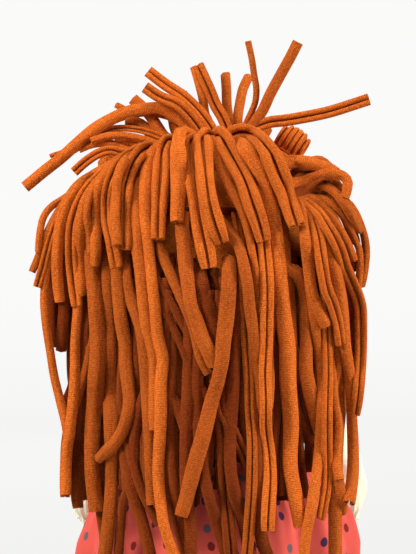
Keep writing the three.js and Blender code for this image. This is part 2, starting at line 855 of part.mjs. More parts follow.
const fallPixels = [
  [8, [206, 136], [150, 150], [90, 175], [62, 205], [44, 240], [32, 272]],
  [9, [206, 136], [150, 152], [85, 184], [53, 230], [42, 270], [37, 287]],
  [11, [208, 136], [160, 150], [100, 173], [66, 207], [57, 260], [60, 302]],
  [10, [208, 136], [160, 152], [105, 172], [78, 205], [71, 250], [77, 306]],
  [9, [208, 138], [165, 152], [108, 172], [86, 200], [79, 240], [82, 295]],
  [9, [208, 138], [165, 150], [118, 160], [98, 190], [96, 265]],
  [11, [210, 138], [170, 148], [128, 152], [106, 195], [116, 267]],
  [13, [210, 138], [170, 142], [143, 150], [127, 180], [124, 250]],
  [14, [210, 138], [165, 140], [160, 175], [158, 239]],
  [15, [212, 136], [183, 131], [178, 160], [177, 222]],
  [17, [212, 136], [196, 150], [194, 175], [209, 268]],
  [16, [214, 136], [206, 150], [212, 200], [222, 242]],
  [16, [220, 136], [235, 162], [252, 202], [264, 241]],
  [15, [224, 136], [252, 137], [273, 168], [296, 225]],
  [7, [206, 136], [150, 152], [95, 182], [58, 225], [46, 280], [50, 350], [68, 440]],
  [9, [208, 138], [160, 154], [105, 182], [80, 230], [78, 308], [75, 375], [66, 495]],
  [11, [210, 138], [170, 142], [136, 185], [138, 250], [151, 345], [154, 430]],
  [11, [210, 138], [158, 145], [145, 208], [152, 280], [162, 380], [159, 480], [178, 566]],
  [10, [214, 136], [222, 172], [248, 232], [258, 300]],
  [14, [222, 136], [247, 150], [270, 201], [279, 266], [287, 345], [291, 425], [301, 527]],
];

const middlePixels = [
  [13, [100, 212], [92, 255], [95, 300], [97, 383], [92, 447], [97, 511]],
  [10, [118, 212], [120, 310], [128, 383], [122, 432], [98, 459]],
  [9, [126, 212], [129, 290], [142, 332], [149, 420], [152, 505]],
  [9, [158, 212], [163, 256], [193, 328], [208, 374]],
  [10, [184, 212], [186, 265], [197, 322], [214, 366]],
  [15, [228, 212], [229, 285], [222, 360], [202, 440], [181, 516]],
  [10, [222, 212], [240, 252], [251, 300], [253, 345]],
  [12, [258, 212], [265, 266], [262, 344], [266, 430], [268, 531]],
  [9, [248, 212], [250, 290], [249, 380], [252, 470], [246, 562]],
  [11, [276, 212], [286, 268], [305, 300], [306, 345]],
  [10, [104, 212], [108, 300], [111, 400], [112, 480], [104, 566]],
];

const innerPixels = [
  [7, [152, 278], [164, 291], [190, 340], [208, 400]],
  [8, [192, 278], [198, 310], [210, 350]],
  [13, [202, 278], [208, 310], [216, 345]],
  [9, [166, 278], [166, 388], [186, 432], [190, 470], [190, 562]],
  [8, [272, 278], [270, 345], [269, 408]],
  [11, [222, 278], [222, 410], [246, 460], [261, 537]],
  [12, [212, 278], [216, 380], [224, 440], [226, 500], [232, 566]],
  [11, [200, 278], [199, 400], [204, 475], [226, 562]],
  [11, [240, 278], [238, 400], [236, 500], [251, 562]],
  [11, [136, 278], [130, 400], [127, 475], [152, 562]],
  [9, [146, 278], [146, 385], [135, 440], [118, 562]],
  [11, [286, 278], [290, 345], [305, 392], [322, 436]],
  [11, [296, 278], [304, 345], [316, 388], [318, 440]],
];

// Strips of the bunch at the doll's right, from where they are gathered.
const bunchPixels = [
  [10, [300, 196], [307, 164], [336, 170]],
  [10, [300, 196], [284, 184], [326, 169], [350, 178], [347, 198]],
  [10, [300, 196], [319, 213], [346, 266], [364, 323], [362, 370], [356, 415]],
  [8, [302, 196], [338, 228], [354, 260]],
  [8, [302, 196], [345, 201], [366, 254], [361, 286]],
  [10, [300, 198], [318, 235], [327, 289], [341, 344]],
  [10, [300, 196], [308, 260], [314, 298], [326, 326]],
  [9, [300, 198], [320, 250], [328, 340], [327, 454], [321, 519]],
  [11, [300, 198], [325, 240], [342, 300], [351, 395], [349, 503]],
  [11, [300, 198], [316, 270], [321, 350], [335, 440], [335, 562]],
  [10, [300, 198], [310, 270], [315, 380], [318, 460], [303, 562]],
  [8, [300, 198], [324, 280], [335, 400], [343, 513]],
];

const steadyLift = (lift) => () => lift;
const fallLiftAt = (z) => mix(fallLift, crownLift, smooth((z - crownZ + crownFade - crownRise) / crownFade));

// A round post that stands on the wig cap along the head's normal.
function postOnCap(azimuth, polar, radius, fromLift, toLift) {
  const foot = headPoint(azimuth, polar, 0);
  const out = headNormal(foot);
  const turn = new THREE.Quaternion().setFromUnitVectors(new THREE.Vector3(0, 0, 1), out);
  return ringBody([fromLift, toLift].map((lift) => neckRings(radius, [0])[0]
    .map((point) => point.applyQuaternion(turn).add(foot).addScaledVector(out, lift))));
}

// A strip of the tuft leaves the post's top and leans forward or back, but stays outside the head.
function tuftDepth(spreadShare) {
  const top = headPoint(Math.PI / 2, THREE.MathUtils.degToRad(crownPolarAngle), crownStem);
  return (flat, rest, share) => {
    const outline = headCentreZ + (headHalfHeight + fallLift)
      * Math.sqrt(Math.max(1 - (flat.x / (headHalfWidth + fallLift)) ** 2, 0));
    const free = top.y + tuftSpread * spreadShare * share;
    return Math.max(free, rest * smooth((outline - flat.z) / stripThickness));
  };
}

function makeTopknot() {
  const polar = THREE.MathUtils.degToRad(crownPolarAngle);
  const behind = Math.PI / 2;
  const foot = headPoint(behind, polar, 0);
  const out = headNormal(foot);
  const turn = new THREE.Quaternion().setFromUnitVectors(new THREE.Vector3(0, 0, 1), out);
  const tieCentre = foot.clone().addScaledVector(out, capOutside + seatGap + tieSection / 2);
  const tie = new THREE.TorusGeometry(tieInnerRadius + tieSection / 2, tieSection / 2, tieSides, bodySides);
  tie.applyQuaternion(turn).translate(tieCentre.x, tieCentre.y, tieCentre.z);
  addPart('topknot_tie', tie, 'jersey');
  const stem = postOnCap(behind, polar, tieInnerRadius - seatGap, capOutside + seatGap, crownStem);
  const tuft = tuftPixels.map((row, index) => photoStrip(row, fallLiftAt, tuftDepth(tuftSpreadShares[index])));
  const strips = [...tuft, ...fallPixels.map((row) => photoStrip(row, fallLiftAt))];
  const forward = forwardDegrees.map((degrees) => forwardStrip(polar, THREE.MathUtils.degToRad(degrees)));
  addPart('topknot_strips', joined([stem, ...strips, ...forward]), 'jersey');
}

// A strip that lies on the cap from the topknot to the hairline at an azimuth.
const forwardFallShare = 3;

function forwardStrip(crownPolar, azimuth) {
  const unit = (around, polar) => new THREE.Vector3(
    Math.sin(polar) * Math.cos(around),
    Math.sin(polar) * Math.sin(around),
    Math.cos(polar),
  );
  const from = unit(Math.PI / 2, crownPolar);
  const to = unit(azimuth, capEdgePolar(azimuth) - forwardInset / headHalfHeight);
  const centres = [];
  const normals = [];
  for (let step = 0; step <= forwardSteps; step += 1) {
    const share = step / forwardSteps;
    const way = from.clone().lerp(to, share).normalize();
    const fall = smooth(share * forwardFallShare);
    const lift = mix(crownStem - stripThickness, hairRest + stripThickness / 2, fall);
    const point = headPoint(Math.atan2(way.y, way.x), Math.acos(way.z), lift);
    centres.push(point);
    normals.push(headNormal(point));
  }
  return stripTube(centres, normals, forwardWidth);
}

function makeBackHair() {
  const middleBand = weftBand(middleWeftPixels, middleWeftZ, middleLift);
  const middle = middlePixels.map((row) => photoStrip(row, steadyLift(middleLift)));
  addPart('back_strips_middle', joined([middleBand, ...middle]), 'jersey');
  const innerBand = weftBand(innerWeftPixels, innerWeftZ, innerLift);
  const inner = innerPixels.map((row) => photoStrip(row, steadyLift(innerLift)));
  addPart('back_strips_inner', joined([innerBand, ...inner]), 'jersey');
}

// The bunch at the right side hangs from a post between the strips of the fall.
function makeBunch() {
  const x = photoX(bunchStemPx);
  const z = photoZ(bunchStemPy);
  const top = new THREE.Vector3(x, layerDepth(x, z, bunchLift), z);
  const stretch = new THREE.Vector3(
    top.x / (headHalfWidth + bunchLift),
    top.y / (headHalfDepth + bunchLift),
    (top.z - headCentreZ) / (headHalfHeight + bunchLift),
  ).normalize();
  const azimuth = Math.atan2(stretch.y, stretch.x);
  const polar = Math.acos(stretch.z);
  const stem = postOnCap(azimuth, polar, stemRadius, capOutside + seatGap - stemSink, bunchLift + stripThickness);
  const strips = bunchPixels.map((row) => photoStrip(row, steadyLift(bunchLift)));
  addPart('bunch_strips', joined([stem, ...strips]), 'jersey');
}

// One loop of strip, closed on itself, in the plane of two directions.
function stripLoop(centre, up, sideways, radius, tube) {
  const out = new THREE.Vector3().crossVectors(up, sideways).normalize();
  const rings = [];
  for (let step = 0; step < loopSteps; step += 1) {
    const angle = (2 * Math.PI * step) / loopSteps;
    const spoke = up.clone().multiplyScalar(Math.cos(angle)).addScaledVector(sideways, Math.sin(angle));
    const middle = centre.clone().addScaledVector(spoke, radius);
    const ring = [];
    for (let side = 0; side < loopSides; side += 1) {
      const turn = (2 * Math.PI * side) / loopSides;
      ring.push(middle.clone()
        .addScaledVector(spoke, tube * Math.cos(turn))
        .addScaledVector(out, tube * Math.sin(turn)));
    }
    rings.push(ring);
  }
  return ringBody(rings, { loop: true });
}

// Loops of strip in a row along the hairline, from the left temple over the forehead.
function makeFringe() {
  const hairline = (share) => {
    const azimuth = mix(fringeFrom, fringeTo, share);
    return headPoint(azimuth, capEdgePolar(azimuth) - fringeInset / headHalfHeight, 0);
  };
  const loops = [];
  for (let index = 0; index <= fringeLoops; index += 1) {
    const foot = hairline(index / fringeLoops);
    const out = headNormal(foot);
    const around = hairline((index + 1) / fringeLoops).sub(hairline((index - 1) / fringeLoops));
    const sideways = around.addScaledVector(out, -around.dot(out)).normalize();
    const centre = foot.clone().addScaledVector(out, hairRest + loopTube + loopRadius);
    loops.push(stripLoop(centre, out, sideways, loopRadius, loopTube));
  }
  addPart('fringe_loops', joined(loops), 'jersey');
}

// Small bun: a wound foot, and loops of strip that cross on it.
function makeBun(name, azimuthDegrees, polarDegrees) {
  const azimuth = THREE.MathUtils.degToRad(azimuthDegrees);
  const polar = THREE.MathUtils.degToRad(polarDegrees);
  const foot = headPoint(azimuth, polar, 0);
  const out = headNormal(foot);
  const across = new THREE.Vector3(0, 1, 0).addScaledVector(out, -out.y).normalize();
  const centre = foot.clone().addScaledVector(out, bunLift);
  const loops = [];
  for (let index = 0; index < bunLoops; index += 1) {
    const sideways = across.clone().applyAxisAngle(out, (Math.PI * index) / bunLoops);
    loops.push(stripLoop(centre, out, sideways, bunRadius, loopTube));
  }
  const post = postOnCap(azimuth, polar, bunPostRadius, capOutside + seatGap, bunPostTop);
  addPart(name, joined([post, ...loops]), 'jersey');
}

// Strips that hang from the cap's edge beside the face.
function makeSideStrips(name, side) {
  const strips = [];
  const base = [];
  for (let index = 0; index <= sideStrips; index += 1) {
    const azimuth = mix(sideFrom, sideTo, index / sideStrips);
    const turned = side > 0 ? azimuth : Math.PI - azimuth;
    const polar = capEdgePolar(turned) - sideInset / headHalfHeight;
    const foot = headPoint(turned, polar, 0);
    const start = foot.clone().addScaledVector(headNormal(foot), hairRest + stripThickness / 2);
    const out = start.clone().setZ(0).normalize();
    const centres = [];
    for (let step = 0; step <= sideSteps; step += 1) {
      const share = step / sideSteps;
      const point = start.clone().addScaledVector(out, sideFlare * share);
      centres.push(point.setZ(start.z - sideStripLength * share));
    }
    base.push(start);
    strips.push(stripTube(centres, centres.map(() => out), sideStripWidth));
  }
  const rings = base.map((centre) => {
    const out = centre.clone().setZ(0).normalize();
    return weftCornerShares.map(([outShare, upShare]) => centre.clone()
      .addScaledVector(out, (outShare * weftThickness) / 2)
      .add(new THREE.Vector3(0, 0, (upShare * weftHeight) / 2)));
  });
  addPart(name, joined([ringBody(rings), ...strips]), 'jersey');
}

makeTorso();
makeHead();
makeWigCap();
for (const [name, side] of [['left', 1], ['right', -1]]) {
  const arm = makeLimb(`arm_${name}`, armPoints(side), armRadii);
  makeSleeve(`sleeve_${name}`, arm);
  makeLimb(`leg_${name}`, legPoints(side), legRadii, 0);
  makeStrap(`strap_${name}`, side);
}
makeBlouse();
makeBodice();
makeSkirt();
makeCollar();
makeTopknot();
makeBackHair();
makeBunch();
makeFringe();
makeBun('bun_right', bunRightAzimuth, bunRightPolar);
makeBun('bun_left', bunLeftAzimuth, bunLeftPolar);
makeSideStrips('side_strips_left', 1);
makeSideStrips('side_strips_right', -1);

export default doll;
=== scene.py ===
"""Looks of a seated cloth rag doll whose hair is made of rolled jersey strips.

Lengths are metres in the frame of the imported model: +Z up, the doll looks towards -Y and its right hand
is at -X. The hair is laid from tables of strip paths, given as places in the photograph's frame.
"""

import json
import logging
import math
import zlib
from contextlib import contextmanager
from dataclasses import dataclass, field
from enum import Enum
from typing import Callable, ClassVar, Iterator, Optional, Sequence, Union

import bmesh
import bpy
import numpy as np
from mathutils import Vector
from mathutils.bvhtree import BVHTree
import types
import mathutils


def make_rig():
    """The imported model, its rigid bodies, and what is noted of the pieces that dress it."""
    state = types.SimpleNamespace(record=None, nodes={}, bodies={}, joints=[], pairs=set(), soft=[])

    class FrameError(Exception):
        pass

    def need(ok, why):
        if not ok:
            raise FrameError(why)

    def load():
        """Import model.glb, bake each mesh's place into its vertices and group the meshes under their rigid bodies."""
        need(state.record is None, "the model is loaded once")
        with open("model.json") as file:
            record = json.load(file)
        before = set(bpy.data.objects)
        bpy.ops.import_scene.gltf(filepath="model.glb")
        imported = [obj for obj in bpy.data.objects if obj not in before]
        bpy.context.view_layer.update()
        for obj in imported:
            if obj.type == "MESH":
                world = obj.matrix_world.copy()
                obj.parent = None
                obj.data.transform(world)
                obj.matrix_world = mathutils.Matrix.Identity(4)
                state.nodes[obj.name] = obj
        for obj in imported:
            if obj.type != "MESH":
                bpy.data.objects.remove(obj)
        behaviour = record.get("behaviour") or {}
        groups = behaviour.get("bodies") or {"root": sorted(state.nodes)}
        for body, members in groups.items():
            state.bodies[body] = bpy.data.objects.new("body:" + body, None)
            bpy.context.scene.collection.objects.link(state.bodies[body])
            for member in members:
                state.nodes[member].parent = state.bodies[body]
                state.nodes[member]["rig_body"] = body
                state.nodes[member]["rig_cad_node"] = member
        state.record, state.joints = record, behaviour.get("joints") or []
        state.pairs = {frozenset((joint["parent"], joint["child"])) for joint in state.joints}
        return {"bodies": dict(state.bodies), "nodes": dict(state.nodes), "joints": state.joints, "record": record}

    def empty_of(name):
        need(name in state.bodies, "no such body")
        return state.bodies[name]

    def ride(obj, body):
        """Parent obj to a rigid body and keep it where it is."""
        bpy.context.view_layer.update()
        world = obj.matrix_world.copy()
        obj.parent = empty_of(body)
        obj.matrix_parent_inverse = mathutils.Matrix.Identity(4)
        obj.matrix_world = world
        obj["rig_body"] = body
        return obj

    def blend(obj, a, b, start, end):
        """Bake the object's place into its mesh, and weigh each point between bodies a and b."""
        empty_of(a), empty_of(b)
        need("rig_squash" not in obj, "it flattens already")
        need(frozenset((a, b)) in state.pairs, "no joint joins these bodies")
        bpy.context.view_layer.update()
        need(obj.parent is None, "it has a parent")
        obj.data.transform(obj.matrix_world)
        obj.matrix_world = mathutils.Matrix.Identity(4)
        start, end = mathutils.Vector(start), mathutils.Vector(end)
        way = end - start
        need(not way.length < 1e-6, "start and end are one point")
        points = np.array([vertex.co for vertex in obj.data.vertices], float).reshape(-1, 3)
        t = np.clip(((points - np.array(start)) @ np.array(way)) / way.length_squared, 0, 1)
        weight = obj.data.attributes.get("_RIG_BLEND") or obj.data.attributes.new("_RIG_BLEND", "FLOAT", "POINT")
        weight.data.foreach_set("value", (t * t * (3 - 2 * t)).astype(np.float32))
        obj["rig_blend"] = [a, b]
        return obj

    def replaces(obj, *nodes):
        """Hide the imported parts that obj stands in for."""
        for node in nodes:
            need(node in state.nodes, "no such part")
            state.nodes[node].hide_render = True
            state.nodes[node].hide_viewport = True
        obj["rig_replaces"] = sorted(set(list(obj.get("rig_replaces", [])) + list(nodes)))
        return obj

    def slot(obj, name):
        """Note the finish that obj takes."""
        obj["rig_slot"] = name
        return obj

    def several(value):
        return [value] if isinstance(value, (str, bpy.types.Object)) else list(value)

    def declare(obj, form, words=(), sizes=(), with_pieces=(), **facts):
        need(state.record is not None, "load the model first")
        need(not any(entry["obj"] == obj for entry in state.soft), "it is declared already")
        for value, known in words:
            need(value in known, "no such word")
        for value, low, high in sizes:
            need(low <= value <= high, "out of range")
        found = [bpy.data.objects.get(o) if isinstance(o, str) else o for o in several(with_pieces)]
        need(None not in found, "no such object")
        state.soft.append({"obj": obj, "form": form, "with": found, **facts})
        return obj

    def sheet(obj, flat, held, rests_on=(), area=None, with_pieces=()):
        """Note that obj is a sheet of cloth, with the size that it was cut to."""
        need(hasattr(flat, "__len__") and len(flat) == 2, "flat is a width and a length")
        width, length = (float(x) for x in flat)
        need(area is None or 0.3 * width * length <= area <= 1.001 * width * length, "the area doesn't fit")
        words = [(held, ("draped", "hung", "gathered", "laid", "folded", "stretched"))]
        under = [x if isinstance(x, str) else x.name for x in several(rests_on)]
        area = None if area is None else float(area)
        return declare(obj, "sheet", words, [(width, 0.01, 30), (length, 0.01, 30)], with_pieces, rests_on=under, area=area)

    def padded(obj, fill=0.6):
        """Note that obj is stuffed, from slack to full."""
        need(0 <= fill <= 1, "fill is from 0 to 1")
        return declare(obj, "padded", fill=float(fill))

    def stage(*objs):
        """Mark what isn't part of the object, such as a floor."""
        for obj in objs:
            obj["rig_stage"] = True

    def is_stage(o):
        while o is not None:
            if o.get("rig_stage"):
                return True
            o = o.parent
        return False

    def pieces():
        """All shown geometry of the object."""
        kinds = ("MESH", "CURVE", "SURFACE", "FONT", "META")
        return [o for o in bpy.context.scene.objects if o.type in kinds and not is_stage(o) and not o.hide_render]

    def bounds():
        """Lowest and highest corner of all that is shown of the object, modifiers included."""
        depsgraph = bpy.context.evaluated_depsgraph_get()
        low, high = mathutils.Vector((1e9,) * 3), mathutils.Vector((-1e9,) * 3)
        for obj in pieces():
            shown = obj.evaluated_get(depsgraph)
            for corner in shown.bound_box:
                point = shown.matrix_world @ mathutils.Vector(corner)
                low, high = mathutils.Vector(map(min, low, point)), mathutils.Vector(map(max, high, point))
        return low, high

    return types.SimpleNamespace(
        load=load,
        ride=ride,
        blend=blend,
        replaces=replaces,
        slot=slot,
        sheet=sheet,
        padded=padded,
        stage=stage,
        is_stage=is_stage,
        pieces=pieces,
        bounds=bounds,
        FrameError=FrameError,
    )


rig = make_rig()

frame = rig.load()
CAD_LOW, CAD_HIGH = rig.bounds()

log = logging.getLogger("rag_doll")
SIZE_FILE = "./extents.json"
MM = 0.001
PITCH = 0.0035
LOOP_PLACES = 24

Array = np.ndarray
Shape = bpy.types.Object
Material = bpy.types.Material
Mesh = bpy.types.Mesh
Socket = bpy.types.NodeSocket
Colour = tuple[float, float, float]
Place = tuple[float, float, float]
Pair = tuple[float, float]
Number = Union[float, Array]


def smooth(share: Number) -> Number:
    """A smooth step from 0 to 1 over a share that is held between them."""
    held = np.clip(share, 0.0, 1.0)
    return held * held * (3 - 2 * held)


def table_at(rows: Sequence[Sequence[float]], at: Number, column: int) -> Array:
    """Reads one column of a table of rows at any value of its first column."""
    grid = np.array(rows)
    return np.interp(at, grid[:, 0], grid[:, column])


def turns(count: int) -> Array:
    """The angles of a number of even places round a full turn."""
    return np.linspace(0, 2 * math.pi, count + 1)[:-1]


def oval(angle: Array, wide: Number, deep: Number, z: Number) -> Array:
    """Places on a level oval round the doll, from their angles and its half width, depth and height."""
    return np.stack(np.broadcast_arrays(np.cos(angle) * wide, np.sin(angle) * deep, z), axis=1)


def cloth_grid(width: float, columns: int, down: Array) -> Array:
    """Flat places of a cloth's grid.

    Args:
        width: The cloth's width.
        columns: The number of even places across it.
        down: The run down the cloth, of each row or of each place.

    Returns:
        Rows by columns of flat places.
    """
    rows = down if down.ndim == 2 else down[:, None]
    return np.stack(np.broadcast_arrays(np.linspace(0, width, columns)[None, :], rows), axis=-1)


def run_along(points: Array) -> Array:
    """The length of a line up to each of its points."""
    return np.concatenate([[0.0], np.cumsum(np.linalg.norm(np.diff(points, axis=0), axis=1))])


def mixed(times: Array, low: float, high: float, first: Array, second: Array) -> Array:
    """Goes from a first place at the time low to a second one at the time high."""
    return (high - times) / (high - low) * first + (times - low) / (high - low) * second


def through(points: Array, pitch: float) -> Array:
    """Lays a smooth curve through points and returns places along it.

    Args:
        points: The places that the curve passes, one row each.
        pitch: The distance between the returned places, about.

    Returns:
        Evenly spaced places along a centripetal curve, one row each.
    """
    points = np.asarray(points, float)
    line = np.vstack([2 * points[0] - points[1], points, 2 * points[-1] - points[-2]])
    steps = np.maximum(np.sqrt(np.linalg.norm(np.diff(line, axis=0), axis=1)), 1e-6)
    knots = np.concatenate([[0.0], np.cumsum(steps)])
    fine = []
    for index in range(1, len(line) - 2):
        times = np.linspace(knots[index], knots[index + 1], 13)[:-1, None]
        near = knots[index - 1:index + 3]
        level = [line[index - 1 + k] for k in range(4)]
        first = [mixed(times, near[k], near[k + 1], level[k], level[k + 1]) for k in range(3)]
        second = [mixed(times, near[k], near[k + 2], first[k], first[k + 1]) for k in range(2)]
        fine.append(mixed(times, near[1], near[2], *second))
    dense = np.vstack([*fine, points[-1][None]])
    run = run_along(dense)
    count = max(int(round(run[-1] / pitch)), 3)
    even = np.linspace(0, run[-1], count + 1)
    return np.stack([np.interp(even, run, dense[:, k]) for k in range(dense.shape[1])], axis=1)


def unit(vectors: Array) -> Array:
    """Gives every row of an array the length 1."""
    return vectors / np.maximum(np.linalg.norm(vectors, axis=-1, keepdims=True), 1e-12)


def softened(values: Array, passes: int) -> Array:
    """Evens out a row of values, and keeps its two ends."""
    for _ in range(passes):
        middle = (values[:-2] + 2 * values[1:-1] + values[2:]) / 4
        values = np.concatenate([values[:1], middle, values[-1:]])
    return values


def seed_of(name: str) -> int:
    """A fixed seed for a named piece."""
    return zlib.crc32(name.encode()) % (2 ** 31)


def mesh_object(name: str, mesh: Mesh) -> Shape:
    """Puts a mesh into the scene as an object at the origin."""
    made = bpy.data.objects.new(name, mesh)
    bpy.context.scene.collection.objects.link(made)
    return made


@contextmanager
def edited(mesh: Mesh) -> Iterator[bmesh.types.BMesh]:
    """Opens a mesh for edits and writes them back."""
    build = bmesh.new()
    build.from_mesh(mesh)
    yield build
    build.to_mesh(mesh)
    build.free()


def line_mesh(name: str, lines: Sequence[Array], closed: bool = False) -> Mesh:
    """A mesh of edges along lines, each of which ends where it starts if they are closed."""
    edges, start = [], 0
    for line in lines:
        count = len(line)
        edges += [(start + k, start + (k + 1) % count) for k in range(count if closed else count - 1)]
        start += count
    mesh = bpy.data.meshes.new(name)
    mesh.from_pydata(np.vstack(lines).tolist(), edges, [])
    return mesh


def finished_mesh(source: Shape, name: str, material: Material) -> Shape:
    """Turns an object and its modifiers into a plain mesh object.

    Args:
        source: The object with live modifiers. It is removed.
        name: The new object's name.
        material: The one material of the new object.

    Returns:
        The plain mesh object.
    """
    bpy.context.view_layer.update()
    graph = bpy.context.evaluated_depsgraph_get()
    mesh = bpy.data.meshes.new_from_object(source.evaluated_get(graph), depsgraph=graph)
    bpy.data.objects.remove(source)
    mesh.name = name
    mesh.materials.clear()
    mesh.materials.append(material)
    mesh.polygons.foreach_set("use_smooth", [True] * len(mesh.polygons))
    return mesh_object(name, mesh)


class Face(Enum):
    """What a strip shows: its smooth side, its two rolled edges, or, as hidden filler, a plain form."""

    FLAT = "F"
    DOUBLE = "D"
    FILLER = "R"


class Layer(Enum):
    """A layer of hair, with the least distance of its strips' middle outside the head, in millimetres."""

    INNER = 6.6
    MIDDLE = 12.8
    FALL = 19.5
    BUNCH = 26.0


# Node trees

Value = Union[float, Colour, "Wire", Socket]


def operator(operation: str, swapped: bool = False) -> Callable[["Wire", Value], "Wire"]:
    """Makes one arithmetic operator of Wire, with its two sides swapped where it is a reflected one."""
    def added(wire: "Wire", other: Value) -> "Wire":
        """Adds the Math node."""
        return wire.paint.maths(operation, *((other, wire) if swapped else (wire, other)))
    return added


class Wire:
    """A shader socket that takes part in arithmetic. Each operation adds its Math node."""

    def __init__(self, paint: "Paint", socket: Socket) -> None:
        """Keeps the material under construction and the socket."""
        self.paint = paint
        self.socket = socket

    __add__, __radd__ = operator("ADD"), operator("ADD", True)
    __sub__, __rsub__ = operator("SUBTRACT"), operator("SUBTRACT", True)
    __mul__, __rmul__ = operator("MULTIPLY"), operator("MULTIPLY", True)
    __truediv__ = operator("DIVIDE")


class Tree:
    """A node tree under construction."""

    def __init__(self, tree: bpy.types.NodeTree, prefix: str = "") -> None:
        """Keeps the tree, and what the types of its nodes start with."""
        self.tree = tree
        self.prefix = prefix

    def node(self, kind: str, settings: Optional[dict] = None,
             sockets: Optional[dict] = None) -> bpy.types.Node:
        """Adds one node.

        Args:
            kind: The node's type, without the tree's prefix.
            settings: Its properties, set first. "stops" gives a ramp's (place, colour) pairs.
            sockets: Values or links of its inputs, by name or number.

        Returns:
            The new node.
        """
        made = self.tree.nodes.new(self.prefix + kind)
        for key, value in (settings or {}).items():
            if key == "stops":
                self.set_stops(made.color_ramp, value)
            else:
                setattr(made, key, value)
        for key, value in (sockets or {}).items():
            self.feed(made.inputs[key], value)
        return made

    @staticmethod
    def set_stops(ramp: bpy.types.ColorRamp, stops: Sequence[tuple[float, Colour]]) -> None:
        """Sets a colour ramp's stops, which hold their colour up to the next one."""
        ramp.interpolation = "CONSTANT"
        while len(ramp.elements) < len(stops):
            ramp.elements.new(1.0)
        for element, (place, colour) in zip(ramp.elements, stops):
            element.position = place
            element.color = (*colour, 1.0)

    def feed(self, socket: Socket, value: Value) -> None:
        """Links an output to an input, or sets the input's value."""
        if isinstance(value, Wire):
            value = value.socket
        if isinstance(value, Socket):
            self.tree.links.new(value, socket)
        elif isinstance(value, tuple) and socket.type == "RGBA":
            socket.default_value = (*value, 1.0)
        else:
            socket.default_value = value


class Paint(Tree):
    """One material under construction."""

    def __init__(self, name: str) -> None:
        """Starts an empty material with a name."""
        self.material = bpy.data.materials.new(name)
        self.material.use_nodes = True
        super().__init__(self.material.node_tree, "ShaderNode")
        self.tree.nodes.clear()

    def maths(self, operation: str, *values: Value) -> Wire:
        """One Math node on one to three values."""
        made = self.node("Math", {"operation": operation}, dict(enumerate(values)))
        return Wire(self, made.outputs[0])

    def attribute(self, name: str, output: str = "Fac") -> Wire:
        """A named attribute of the piece."""
        return Wire(self, self.node("Attribute", {"attribute_name": name}).outputs[output])

    def place(self) -> Wire:
        """The place on the piece, in its own space."""
        return Wire(self, self.node("TexCoord").outputs["Object"])

    def flat_place(self) -> Wire:
        """The piece's own UV map, in metres of cloth."""
        return Wire(self, self.node("TexCoord").outputs["UV"])

    def apart(self, vector: Wire) -> tuple[Wire, Wire, Wire]:
        """The three parts of a vector."""
        made = self.node("SeparateXYZ", None, {0: vector})
        return tuple(Wire(self, output) for output in made.outputs)

    def noise(self, vector: Wire, scale: float, detail: float = 2.0) -> Wire:
        """Noise from 0 to 1 at a number of waves per metre."""
        made = self.node("TexNoise", None, {"Vector": vector, "Scale": scale, "Detail": detail})
        return Wire(self, made.outputs[0])

    def between(self, value: Wire, low: float, high: float) -> Wire:
        """A smooth mask that goes from 0 at low to 1 at high."""
        made = self.node("MapRange", {"interpolation_type": "SMOOTHSTEP"},
                         {"Value": value, "From Min": low, "From Max": high})
        return Wire(self, made.outputs[0])

    def blend(self, share: Value, first: Value, second: Value, kind: str = "MIX") -> Wire:
        """A mix of two colours."""
        made = self.node("Mix", {"data_type": "RGBA", "blend_type": kind},
                         {0: share, 6: first, 7: second})
        return Wire(self, made.outputs[2])

    def bump(self, height: Wire, strength: float, distance: float) -> Wire:
        """A normal bent by a height from 0 to 1 that stands for a distance."""
        made = self.node("Bump", None, {"Height": height, "Strength": strength, "Distance": distance})
        return Wire(self, made.outputs[0])

    def cloth(self, colour: Value, roughness: Value, normal: Optional[Wire], sheen: float,
              tint: Colour, alpha: Value = 1.0) -> Material:
        """Ends the material in one cloth-like surface and returns it."""
        sockets = {"Base Color": colour, "Roughness": roughness, "Alpha": alpha,
                   "Sheen Weight": sheen, "Sheen Roughness": 0.45, "Sheen Tint": tint,
                   "Specular IOR Level": 0.08}
        if normal is not None:
            sockets["Normal"] = normal
        return self.finish(self.node("BsdfPrincipled", None, sockets))

    def finish(self, surface: bpy.types.Node) -> Material:
        """Ends the material in a shader and returns it."""
        self.node("OutputMaterial", None, {0: surface.outputs[0]})
        return self.material


